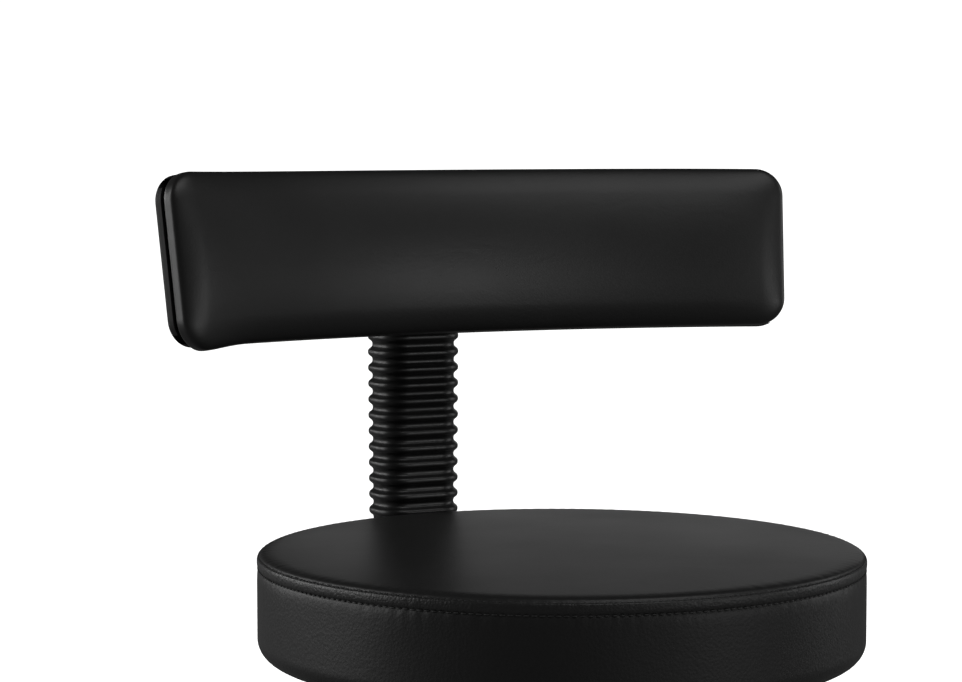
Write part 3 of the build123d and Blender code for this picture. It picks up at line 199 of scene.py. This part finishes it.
def leather(name, grain, grain_depth, tone, rough, ior=1.46):
    """Black coated leather: pebbled grain of so many cells a metre, soft creases, uneven sheen."""
    g = Graph(name)
    wander = g.noise(grain * 0.35, 2.0)
    pebbles = g.cells(grain, "SMOOTH_F1")
    fine = g.noise(grain * 2.2, 4.0, 0.6)
    creases = g.noise(22.0, 5.0, 0.6, g.scaled(1.0, 1.0, 2.2), 1.2)
    patches = g.noise(7.0, 3.0)
    height = g.math("ADD", pebbles, g.math("MULTIPLY", fine, 0.45))
    height = g.math("ADD", height, g.math("MULTIPLY", wander, 0.6))
    low_bump = g.bump(creases, 0.5 * MM, 0.25)
    g.set(Base_Color=g.blend_colours(patches, grey(0.75 * tone), grey(1.25 * tone)),
          Roughness=g.remap(g.math("ADD", g.math("MULTIPLY", patches, 0.6), g.math("MULTIPLY", fine, 0.4)),
                            0.3, 0.7, rough - 0.05, rough + 0.05),
          Normal=g.bump(height, grain_depth, 1.0, low_bump),
          IOR=ior)
    return g.material


def moulded(name, tone, rough, grain=1400.0, depth=0.03 * MM, ior=1.5):
    """Moulded black plastic with spark-eroded texture, scuffs and a little dust."""
    g = Graph(name)
    texture = g.noise(grain, 3.0, 0.6)
    patches = g.noise(18.0, 4.0, 0.6)
    scuffs = g.noise(60.0, 6.0, 0.7, g.scaled(1.0, 1.0, 5.0), 0.6)
    worn = g.remap(scuffs, 0.55, 0.75, 0.0, 1.0)
    g.set(Base_Color=g.blend_colours(g.math("MULTIPLY", worn, 0.6), (tone, tone, tone * 1.04),
                                     (tone * 2.0, tone * 2.0, tone * 2.05)),
          Roughness=g.remap(g.math("ADD", patches, g.math("MULTIPLY", worn, 0.3)), 0.3, 0.9,
                            rough - 0.06, rough + 0.1),
          Normal=g.bump(texture, depth),
          IOR=ior)
    return g.material


def rubber(name, tone, rough):
    """Matt moulded rubber with bloom."""
    g = Graph(name)
    texture = g.noise(1800.0, 2.0)
    bloom = g.noise(30.0, 5.0, 0.65)
    g.set(Base_Color=g.blend_colours(bloom, grey(tone), grey(tone * 1.5)),
          Roughness=g.remap(bloom, 0.3, 0.7, rough - 0.04, rough + 0.06),
          Normal=g.bump(texture, 0.02 * MM),
          IOR=1.5)
    return g.material


def plated(name, colour, rough, streaks):
    """Bright plated metal: fine drawn streaks, faint pitting and finger marks."""
    g = Graph(name)
    drawn = g.noise(90.0, 5.0, 0.6, g.scaled(1.0, 1.0, 14.0))
    marks = g.noise(14.0, 4.0, 0.6)
    pits = g.cells(700.0)
    dull = tuple(0.86 * channel for channel in colour)
    wear = g.math("ADD", g.math("MULTIPLY", drawn, streaks), g.math("MULTIPLY", marks, 0.4))
    g.set(Base_Color=g.blend_colours(marks, colour, dull),
          Metallic=1.0,
          Roughness=g.remap(wear, 0.2, 0.8, rough * 0.7, rough * 1.5),
          Normal=g.bump(pits, 0.004 * MM, 0.5))
    return g.material


def painted(name, tone, rough):
    """Satin black paint with orange peel and small chips."""
    g = Graph(name)
    peel = g.noise(420.0, 3.0, 0.5)
    chips = g.remap(g.noise(130.0, 6.0, 0.75), 0.72, 0.76, 0.0, 1.0)
    patches = g.noise(9.0, 3.0)
    g.set(Base_Color=g.blend_colours(chips, (tone, tone, tone * 1.05), (0.16, 0.15, 0.14)),
          Roughness=g.remap(patches, 0.3, 0.7, rough - 0.05, rough + 0.07),
          Normal=g.bump(peel, 0.05 * MM))
    g.shader.inputs["Coat Weight"].default_value = 0.2
    return g.material


def plywood(name):
    """Birch plywood: long grain along X, darker plies through the thickness."""
    g = Graph(name)
    grain = g.noise(55.0, 8.0, 0.65, g.scaled(0.12, 1.0, 1.0), 0.8)
    plies = g.nodes.new("ShaderNodeTexWave")
    plies.bands_direction = "Z"
    plies.inputs["Scale"].default_value = 170.0
    plies.inputs["Distortion"].default_value = 1.5
    g.join(g.place, plies.inputs["Vector"])
    tone = g.math("ADD", g.math("MULTIPLY", grain, 0.8), g.math("MULTIPLY", plies.outputs["Fac"], 0.25))
    g.set(Base_Color=g.blend_colours(tone, (0.62, 0.44, 0.26), (0.36, 0.22, 0.11)),
          Roughness=g.remap(grain, 0.3, 0.7, 0.5, 0.7),
          Normal=g.bump(grain, 0.15 * MM))
    return g.material


def foam(name):
    """Open-cell polyurethane foam."""
    g = Graph(name)
    pores = g.cells(900.0)
    g.set(Base_Color=g.blend_colours(pores, (0.74, 0.68, 0.5), (0.5, 0.44, 0.3)), Roughness=0.95,
          Normal=g.bump(pores, 0.4 * MM))
    return g.material


def felt(name, tone):
    """Non-woven cloth: flattened fibres and a square bonding pattern."""
    g = Graph(name)
    fibres = g.noise(700.0, 5.0, 0.7, g.scaled(1.0, 0.35, 1.0), 2.0)
    bonds = g.cells(520.0, "F1", None, 0.0)
    g.set(Base_Color=g.blend_colours(fibres, grey(tone), grey(tone * 2.2)),
          Roughness=0.9,
          Normal=g.bump(g.math("ADD", fibres, g.math("MULTIPLY", bonds, 0.7)), 0.12 * MM))
    g.shader.inputs["Sheen Weight"].default_value = 0.25
    return g.material


def thread(name, tone):
    """Twisted polyester thread."""
    g = Graph(name)
    twist = g.noise(2600.0, 2.0, 0.5, g.scaled(1.0, 1.0, 0.5))
    g.set(Base_Color=g.blend_colours(twist, grey(tone), grey(tone * 2)),
          Roughness=0.6, Normal=g.bump(twist, 0.05 * MM))
    return g.material


top_leather = leather("seat_top_leather", 900.0, 0.035 * MM, 0.011, 0.42)
side_leather = leather("seat_side_leather", 620.0, 0.11 * MM, 0.011, 0.46, 1.4)
welt_leather = leather("seat_welt_leather", 800.0, 0.22 * MM, 0.013, 0.4)
back_leather = leather("backrest_leather", 900.0, 0.03 * MM, 0.012, 0.4)
bellows_rubber = rubber("bellows_rubber", 0.004, 0.36)
black_thread = thread("black_thread", 0.01)

finish_of_slot = {
    "chrome": plated("chrome_plate", (0.78, 0.78, 0.8), 0.09, 0.4),
    "zinc": plated("zinc_plate", (0.6, 0.6, 0.61), 0.3, 1.0),
    "black_steel": painted("black_powder_coat", 0.02, 0.42),
    "column_paint": painted("column_black_paint", 0.02, 0.36),
    "nylon": moulded("black_nylon", 0.018, 0.5),
    "shell": moulded("backrest_shell_plastic", 0.01, 0.6, 1000.0, 0.05 * MM, 1.3),
    "wheel": moulded("wheel_nylon", 0.022, 0.4, 900.0),
    "rubber": rubber("black_rubber", 0.014, 0.6),
    "leather": side_leather,
    "foam": foam("cushion_foam"),
    "plywood": plywood("birch_plywood"),
    "cloth": felt("dust_cloth", 0.012),
}
slot_of_node = {part["node"]: part["material_slot"] for part in frame["record"]["subparts"]}
for node_name, node in frame["nodes"].items():
    node.data.materials.clear()
    node.data.materials.append(finish_of_slot[slot_of_node[node_name]])

# ---------------------------------------------------------------- seat upholstery

SEAT_COLUMNS = 960
BAND_H = 8 * MM                 # welt between the two seams
SEAM_GROOVE = 1.1 * MM
SIDE_ROUND = 12.5 * MM
TURN_IN_R = SEAT_R - 35 * MM
TURN_IN_STEP = 1.3 * MM         # the turned-in edge ends this far inside
PUCKER_REACH = 5 * MM           # distance over which a seam's puckers die out
PUCKER_DEPTH = 0.18 * MM
TENSION_DEPTH = 0.3 * MM        # of the long soft waves in the side


def seat_profile():
    """Half section of the seat's cover as (r, z) from the middle of the top to the turned-in edge.
    The third number says how strongly the stitching puckers the leather there."""
    rows = []
    top_r = SEAT_R - 1.6 * MM
    roll, roll_sink = 10 * MM, 1.9 * MM
    for t in np.linspace(0.012, 1.0, 70) ** 0.85:
        r = top_r * t
        sink = roll_sink * (1 - np.sqrt(max(0.0, 1 - max(0.0, (r - top_r + roll) / roll) ** 2)))
        z = SEAM_Z + (SEAT_CROWN - roll_sink) * (1 - t ** 2) + roll_sink - sink
        rows.append((r, z, np.exp(-(top_r - r) / PUCKER_REACH)))
    rows.append((top_r - 0.1 * MM, SEAM_Z - SEAM_GROOVE, 0.3))
    band_low = SEAM_Z - BAND_H
    band_bulge = 0.9 * MM
    for t in np.linspace(0.04, 0.96, 9):
        bulge = band_bulge * (1 - abs(2 * t - 1) ** 3)
        rows.append((SEAT_R - 1.0 * MM + bulge, SEAM_Z - 0.6 * MM - t * (BAND_H - 1.0 * MM), 0.8))
    rows.append((SEAT_R - SEAM_GROOVE, band_low, 0.3))
    side_top = band_low - 0.5 * MM
    side_low = SEAT_UNDER + SIDE_ROUND
    seam_ease, ease_reach = 0.8 * MM, 2.2 * MM
    for t in np.linspace(0, 1, 34):
        depth = t * (side_top - side_low)
        ease = seam_ease * np.exp(-depth / ease_reach)
        rows.append((SEAT_R - ease, side_top - depth, np.exp(-depth / PUCKER_REACH)))
    for t in np.linspace(0.08, 1, 14):
        angle = t * pi / 2
        rows.append((SEAT_R - SIDE_ROUND * (1 - cos(angle)), side_low - SIDE_ROUND * sin(angle), 0.0))
    for r in np.linspace(SEAT_R - SIDE_ROUND - 3 * MM, TURN_IN_R, 6):
        rows.append((r, SEAT_UNDER, 0.0))
    rows.append((TURN_IN_R, SEAT_UNDER + TURN_IN_STEP, 0.0))
    return np.array(rows)


def seat_cover_mesh():
    """The profile turned about the seat's axis, with puckers at the seams and slack in the side."""
    profile = seat_profile()
    angle = np.linspace(0, 2 * pi, SEAT_COLUMNS, endpoint=False)
    puckers = smooth_noise(angle, 90, 190, seed=3) * PUCKER_DEPTH
    tension = smooth_noise(angle, 5, 26, seed=5) * TENSION_DEPTH
    points = []
    for r, z, pull in profile:
        side = min(1.0, max(0.0, (SEAM_Z - z) / (10 * MM)))
        low = max(0.0, (z - SEAT_UNDER) / (SEAM_Z - SEAT_UNDER))
        radius = r + side * (pull * puckers + low * tension * (1 - pull)) - side * TENSION_DEPTH
        lift = (1 - side) * pull * puckers
        points.append(np.stack([radius * np.cos(angle), radius * np.sin(angle), z + lift], -1))
    rows = len(points)
    points = np.concatenate(points)
    faces = ring_faces(rows, SEAT_COLUMNS)
    top = len(points)
    centre = [(0, 0, SEAM_Z + SEAT_CROWN), (0, 0, SEAT_UNDER + TURN_IN_STEP)]
    points = np.concatenate([points, centre])
    last = (rows - 1) * SEAT_COLUMNS
    for column in range(SEAT_COLUMNS):
        ahead = (column + 1) % SEAT_COLUMNS
        faces.append((top, ahead, column))
        faces.append((top + 1, last + column, last + ahead))
    faces = [face[::-1] for face in faces]
    return points, faces


seat_cover = mesh_object("seat_upholstery", *seat_cover_mesh(), side_leather)
seat_cover.data.materials.append(top_leather)
seat_cover.data.materials.append(welt_leather)
for polygon in seat_cover.data.polygons:
    if polygon.center.z > SEAM_Z - 0.2 * MM:
        polygon.material_index = 1
    elif polygon.center.z > SEAM_Z - BAND_H:
        polygon.material_index = 2
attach(seat_cover, "seat")
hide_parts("seat_cover")


def stitch_row(name, radius, z, pitch, length, thickness, body):
    """A round of separate stitches, each a short fat bead lying along the seam."""
    count = int(2 * pi * radius / pitch)
    around = 8
    along = np.array([-0.5, -0.36, -0.12, 0.12, 0.36, 0.5])
    girth = np.array([0.25, 0.85, 1.0, 1.0, 0.85, 0.25])
    spin = np.linspace(0, 2 * pi, around, endpoint=False)
    points, faces = [], []
    for stitch in range(count):
        middle = 2 * pi * stitch / count
        first = len(points)
        for a, g in zip(along, girth):
            angle = middle + a * length / radius
            sag = -0.35 * thickness * (2 * a) ** 2
            for s in spin:
                r = radius + sag + 0.5 * thickness * g * cos(s)
                points.append((r * cos(angle), r * sin(angle), z + 0.5 * thickness * g * sin(s)))
        faces += ring_faces(len(along), around, first)
        faces.append(tuple(first + i for i in reversed(range(around))))
        end = first + (len(along) - 1) * around
        faces.append(tuple(end + i for i in range(around)))
    piece = mesh_object(name, points, [face[::-1] for face in faces], black_thread)
    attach(piece, body)


stitch_row("seat_upper_stitches", SEAT_R - 1.15 * MM, SEAM_Z - 0.9 * MM,
           pitch=3.6 * MM, length=2.9 * MM, thickness=0.7 * MM, body="seat")
stitch_row("seat_lower_stitches", SEAT_R - 0.75 * MM, SEAM_Z - BAND_H,
           pitch=4.4 * MM, length=3.3 * MM, thickness=0.9 * MM, body="seat")

# ---------------------------------------------------------------- backrest pad

BACK_LEAN = radians(8.0)
BACK_L = 437 * MM
BACK_H = 105 * MM
BACK_CORNER = 18 * MM
FRONT_Y = -52.5 * MM            # from the tilt pin to the crown of the front face
FRONT_RADIUS = 550 * MM         # at mid height; the face is part of a cone about an upright axis
EDGE_DEPTH = 7 * MM             # the length is measured along the arc this far behind the crown
PAD_BACK = 19.7 * MM            # from the crown to the rear face
CROWN = 8 * MM                  # what the front face stands proud of its edges
GRID_EDGE = 26 * MM             # the width along the edges in which the grid is finer
arc_centre = Vector((0, tilt_pin.y + FRONT_Y - FRONT_RADIUS, tilt_pin.z))


def backrest_point(along, up, depth):
    """Places at distances along the arc, up from the middle and back from the front face."""
    angle = along / (FRONT_RADIUS + EDGE_DEPTH)
    r = FRONT_RADIUS + depth * cos(BACK_LEAN) + up * sin(BACK_LEAN)
    return np.stack([r * np.sin(angle), arc_centre.y + r * np.cos(angle),
                     arc_centre.z + up * cos(BACK_LEAN) - depth * sin(BACK_LEAN)], -1)


def slab_grid(length, height, depth, step, fine):
    """Surface points and quads of a box, its grid lines closer together near the edges."""
    def lines(size, inner_step, edge_step, edge):
        middle = np.linspace(-size / 2 + edge, size / 2 - edge, int((size - 2 * edge) / inner_step) + 1)
        low = np.linspace(-size / 2, -size / 2 + edge, int(edge / edge_step) + 1)[:-1]
        return np.concatenate([low, middle, -low[::-1]])

    xs = lines(length, step, fine, GRID_EDGE)
    zs = lines(height, step, fine, GRID_EDGE)
    ws = np.linspace(0, depth, int(depth / fine) + 1)
    index, points, faces = {}, [], []

    def at(i, j, k):
        key = (i, j, k)
        if key not in index:
            index[key] = len(points)
            points.append((xs[i], zs[j], ws[k]))
        return index[key]

    nx, nz, nw = len(xs) - 1, len(zs) - 1, len(ws) - 1
    for i in range(nx):
        for j in range(nz):
            faces.append((at(i, j, 0), at(i + 1, j, 0), at(i + 1, j + 1, 0), at(i, j + 1, 0)))
            faces.append((at(i, j, nw), at(i, j + 1, nw), at(i + 1, j + 1, nw), at(i + 1, j, nw)))
    for i in range(nx):
        for k in range(nw):
            faces.append((at(i, 0, k), at(i, 0, k + 1), at(i + 1, 0, k + 1), at(i + 1, 0, k)))
            faces.append((at(i, nz, k), at(i + 1, nz, k), at(i + 1, nz, k + 1), at(i, nz, k + 1)))
    for j in range(nz):
        for k in range(nw):
            faces.append((at(0, j, k), at(0, j + 1, k), at(0, j + 1, k + 1), at(0, j, k + 1)))
            faces.append((at(nx, j, k), at(nx, j, k + 1), at(nx, j + 1, k + 1), at(nx, j + 1, k)))
    return np.array(points), faces


def rounded_outline(x, z, length, height, corner):
    """Points of a rectangle with its corners drawn in to round ones, and the nearest corner centres."""
    qx = np.clip(x, -length / 2 + corner, length / 2 - corner)
    qz = np.clip(z, -height / 2 + corner, height / 2 - corner)
    dx, dz = x - qx, z - qz
    reach = np.hypot(dx, dz)
    square = np.maximum(abs(dx), abs(dz))
    pull = np.where(reach > 0, square / np.maximum(reach, 1e-9), 1.0)
    return qx + dx * pull, qz + dz * pull, qx, qz


def back_pad_mesh():
    """A slab with round corners and rolled edges, crowned in front and bent to the backrest's cone."""
    front_roll = (17 * MM, 12 * MM)         # the front edge's roll: inwards and backwards
    rear_roll = (2.5 * MM, 2.5 * MM)
    left_rise, right_rise = 0.02, -0.015    # change of the height at each end, as part of it
    droop, droop_in, droop_width = 2.2 * MM, 16 * MM, 20 * MM
    points, faces = slab_grid(BACK_L, BACK_H, PAD_BACK, 4.5 * MM, 1.6 * MM)
    x, z, w = points.T
    x, z, qx, qz = rounded_outline(x, z, BACK_L, BACK_H, BACK_CORNER)
    out_x = np.maximum(abs(x) - (BACK_L / 2 - BACK_CORNER), 0)
    out_z = np.maximum(abs(z) - (BACK_H / 2 - BACK_CORNER), 0)
    straight = np.minimum(BACK_L / 2 - abs(x), BACK_H / 2 - abs(z))
    cornered = BACK_CORNER - np.hypot(out_x, out_z)
    inset = np.where((out_x > 0) & (out_z > 0), cornered, straight)
    inset = np.maximum(inset, 0)
    # the front and rear edges are rolled to quarter ellipses
    for (inwards, deep), edge in ((front_roll, 0.0), (rear_roll, PAD_BACK)):
        away = abs(w - edge)
        near = (inset < inwards) & (away < deep)
        a, b = 1 - inset / inwards, 1 - away / deep
        reach = np.hypot(a, b)
        square = np.maximum(a, b)
        scale = np.where(near & (reach > 0), square / np.maximum(reach, 1e-9), 1.0)
        new_inset = np.where(near, inwards * (1 - a * scale), inset)
        new_away = np.where(near, deep * (1 - b * scale), away)
        shift = new_inset - inset
        # the point moves towards the middle of the pad by the change of its inset
        toward = np.hypot(x - qx, z - qz)
        nx = np.where(toward > 1e-6, (x - qx) / np.maximum(toward, 1e-9), 0)
        nz = np.where(toward > 1e-6, (z - qz) / np.maximum(toward, 1e-9), 0)
        side_x = (BACK_L / 2 - abs(x)) <= (BACK_H / 2 - abs(z))
        nx = np.where(toward > 1e-6, nx, np.where(side_x, np.sign(x), 0))
        nz = np.where(toward > 1e-6, nz, np.where(side_x, 0, np.sign(z)))
        x = x - nx * shift
        z = z - nz * shift
        w = np.where(near, edge + np.sign(PAD_BACK / 2 - edge) * new_away, w)
        inset = new_inset
    # the front is crowned, the -X end is a little taller, and its lower corner droops
    front = np.clip(1 - w / PAD_BACK, 0, 1)
    u, v = 2 * x / BACK_L, 2 * z / BACK_H
    crown = (1 - np.abs(v) ** 2.2) * (1 - np.abs(u) ** 10)
    w = w + CROWN * front ** 2 * (1 - crown)
    z = z * (1 + np.where(u < 0, left_rise, right_rise) * np.abs(u) ** 6)
    left_corner = np.exp(-((x + BACK_L / 2 - droop_in) / droop_width) ** 2)
    z = z - droop * left_corner * np.clip(-v, 0, 1) ** 2
    return backrest_point(x, z, w), faces


back_pad = mesh_object("backrest_upholstery", *back_pad_mesh(), back_leather)
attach(back_pad, "backrest")
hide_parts("back_cover", "back_foam")

# ---------------------------------------------------------------- bellows

BELLOWS_COLUMNS = 144
CREST_PITCH = 10.64 * MM
FIRST_CREST = 9.06 * MM
CRESTS = 17
FOLD_DEPTH = 3 * MM
CUFF_H = 3.7 * MM
CUFF_OUT = 1.3 * MM             # the cuffs' outside, from the folds' valleys
CUFF_EASE = 0.6 * MM            # height of the rounding at a cuff's end
BELLOWS_WALL = 1.2 * MM
FOLD_SHARPNESS = 1.35
bellows_y = (bellows_low.y + bellows_high.y) / 2
valley_half = ((bellows_high.x - bellows_low.x) / 2 - FOLD_DEPTH,
               (bellows_high.y - bellows_low.y) / 2 - FOLD_DEPTH)
VALLEY_CORNER = 15 * MM


def rounded_ring(half_x, half_y, corner, offset, columns):
    """Points round a rounded rectangle moved outwards by offset, evenly spaced in arc length."""
    flat_x, flat_y = half_x - corner, half_y - corner
    runs = [2 * flat_y, corner * pi / 2, 2 * flat_x, corner * pi / 2] * 2
    total = sum(runs)
    ring = []
    for step in range(columns):
        s = total * step / columns
        side = 0
        while s > runs[side]:
            s -= runs[side]
            side += 1
        turn = (side // 2) * pi / 2
        if side % 2 == 0:
            half_run = runs[side] / 2
            normal = turn
            reach = (half_x if side % 4 == 0 else half_y) + offset
            ring.append((reach * cos(normal) - (s - half_run) * sin(normal),
                         reach * sin(normal) + (s - half_run) * cos(normal)))
        else:
            normal = turn + s / corner
            sign_x = 1 if side in (1, 7) else -1
            sign_y = 1 if side in (1, 3) else -1
            ring.append((sign_x * flat_x + (corner + offset) * cos(normal),
                         sign_y * flat_y + (corner + offset) * sin(normal)))
    return np.array(ring)


def bellows_mesh():
    """Cuffs and folds outside and a plain wall inside, as successive closed rings."""
    rows = [(0.0, 0.9 * MM), (CUFF_EASE, CUFF_OUT), (CUFF_H - CUFF_EASE, CUFF_OUT), (CUFF_H, 0.4 * MM)]
    start = FIRST_CREST - CREST_PITCH / 2
    for t in np.linspace(0, CRESTS, CRESTS * 16 + 1):
        swell = np.tanh(FOLD_SHARPNESS * -cos(2 * pi * t)) / np.tanh(FOLD_SHARPNESS)
        rows.append((start + t * CREST_PITCH, FOLD_DEPTH * (0.5 + 0.5 * swell)))
    height = bellows_high.z - bellows_low.z
    rows += [(height - CUFF_H + 0.4 * MM, 0.6 * MM), (height - CUFF_H + 1.0 * MM, CUFF_OUT),
             (height - CUFF_EASE, CUFF_OUT), (height, 0.9 * MM)]
    rows += [(height, -BELLOWS_WALL), (height * 0.5, -BELLOWS_WALL), (0.0, -BELLOWS_WALL)]
    points = []
    for z, offset in rows:
        ring = rounded_ring(*valley_half, VALLEY_CORNER, offset, BELLOWS_COLUMNS)
        taper = 0.97 + 0.03 * z / height
        points.append(np.stack([ring[:, 0] * taper, bellows_y + ring[:, 1] * taper,
                                np.full(BELLOWS_COLUMNS, bellows_low.z + z)], -1))
    count = len(points)
    faces = ring_faces(count, BELLOWS_COLUMNS)
    last = (count - 1) * BELLOWS_COLUMNS
    for column in range(BELLOWS_COLUMNS):
        ahead = (column + 1) % BELLOWS_COLUMNS
        faces.append((last + column, last + ahead, ahead, column))
    return np.concatenate(points), faces


bellows = mesh_object("ribbed_bellows", *bellows_mesh(), bellows_rubber)
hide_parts("bellows")
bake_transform(bellows)

# ---------------------------------------------------------------- studio

def seen_or_dim(nodes, links, seen, dim, surface):
    """Joins one shader to the surface where it is seen directly, and a dim one for all other rays."""
    sight = nodes.new("ShaderNodeLightPath")
    either = nodes.new("ShaderNodeMixShader")
    links.new(sight.outputs["Is Camera Ray"], either.inputs["Fac"])
    links.new(dim, either.inputs[1])
    links.new(seen, either.inputs[2])
    links.new(either.outputs["Shader"], surface)


def pale_floor():
    """Pale paper: white where it is seen, but dim in what it sends back up to the stool."""
    g = Graph("pale_floor")
    fibres = g.noise(300.0, 3.0)
    g.set(Base_Color=g.blend_colours(fibres, grey(0.86), grey(0.88)), Roughness=0.9)
    dim = g.nodes.new("ShaderNodeBsdfDiffuse")
    dim.inputs["Color"].default_value = (*grey(0.06), 1)
    seen_or_dim(g.nodes, g.links, g.shader.outputs["BSDF"], dim.outputs["BSDF"],
                g.nodes["Material Output"].inputs["Surface"])
    return g.material


FLOOR_HALF = 60.0
FLOOR_CORNERS = [(x * FLOOR_HALF, y * FLOOR_HALF, 0) for x, y in ((-1, -1), (1, -1), (1, 1), (-1, 1))]
floor = mesh_object("studio_floor", FLOOR_CORNERS, [(0, 1, 2, 3)], pale_floor())


def white_world(seen, lighting):
    """A white surround of one strength where it is seen and another for the light that it gives."""
    world = bpy.data.worlds.new("studio")
    world.use_nodes = True
    nodes, links = world.node_tree.nodes, world.node_tree.links
    backdrop = nodes["Background"]
    dim = nodes.new("ShaderNodeBackground")
    for background, strength in ((backdrop, seen), (dim, lighting)):
        background.inputs["Color"].default_value = (1, 1, 1, 1)
        background.inputs["Strength"].default_value = strength
    seen_or_dim(nodes, links, backdrop.outputs["Background"], dim.outputs["Background"],
                nodes["World Output"].inputs["Surface"])
    return world


bpy.context.scene.world = white_world(seen=1.1, lighting=0.05)


def softbox(name, place, aim, width, height, power):
    """A rectangular area light at place, facing aim."""
    light = bpy.data.lights.new(name, "AREA")
    light.shape = "RECTANGLE"
    light.size = width
    light.size_y = height
    light.energy = power
    lamp = bpy.data.objects.new(name, light)
    lamp.location = place
    lamp.rotation_euler = (Vector(aim) - Vector(place)).to_track_quat("-Z", "Y").to_euler()
    bpy.context.scene.collection.objects.link(lamp)


seat_middle = (0.0, 0.0, SEAM_Z)
back_middle = (0.0, tilt_pin.y, tilt_pin.z)
softbox("overhead_softbox", (0.3, -1.3, 2.3), seat_middle, 1.8, 1.2, 12)
softbox("left_softbox", (-2.1, 0.75, 1.1), back_middle, 0.9, 1.6, 17)
softbox("right_softbox", (2.4, -0.3, 1.0), back_middle, 0.8, 1.4, 7)
softbox("right_front_softbox", (1.35, -2.35, 0.7), back_middle, 0.9, 0.5, 7)
softbox("low_front_softbox", (0.0, -2.7, 0.45), back_middle, 1.2, 0.3, 1.2)
softbox("rear_softbox", (1.38, 1.93, 0.88), seat_middle, 1.5, 0.55, 1.25)
softbox("rear_left_softbox", (-2.0, 2.4, 1.0), seat_middle, 1.6, 0.9, 17)

# A lamp for the floor alone, so that the paper is white and still takes the stool's soft shadow.
floor_lamp = bpy.data.lights.new("floor_lamp", "SUN")
floor_lamp.energy = 4.6
floor_lamp.angle = radians(70)
floor_sun = bpy.data.objects.new("floor_lamp", floor_lamp)
bpy.context.scene.collection.objects.link(floor_sun)
floor_only = bpy.data.collections.new("floor_only")
floor_only.objects.link(floor)
floor_sun.light_linking.receiver_collection = floor_only

# ---------------------------------------------------------------- camera

AZIMUTH = radians(-27.04)       # the camera stands to the left of straight ahead
ELEVATION = radians(4.319)
DISTANCE = 1.69656
LENS = 104.86
SIDE_SHIFT = -0.04877           # from the stool's axis to the view's middle, + to the right
TARGET_RISE = 0.12826           # from the seat's upper seam up to the view's middle
TARGET = Vector((SIDE_SHIFT * cos(AZIMUTH), SIDE_SHIFT * sin(AZIMUTH), SEAM_Z + TARGET_RISE))
ahead = Vector((-sin(AZIMUTH) * cos(ELEVATION), cos(AZIMUTH) * cos(ELEVATION), -sin(ELEVATION)))
camera_data = bpy.data.cameras.new("camera")
camera_data.lens = LENS
camera_data.sensor_width = 36.0
camera_data.clip_end = 200.0
camera = bpy.data.objects.new("camera", camera_data)
camera.location = TARGET - DISTANCE * ahead
camera.rotation_euler = ahead.to_track_quat("-Z", "Y").to_euler()
bpy.context.scene.collection.objects.link(camera)
bpy.context.scene.camera = camera
bpy.context.scene.view_settings.view_transform = "Standard"
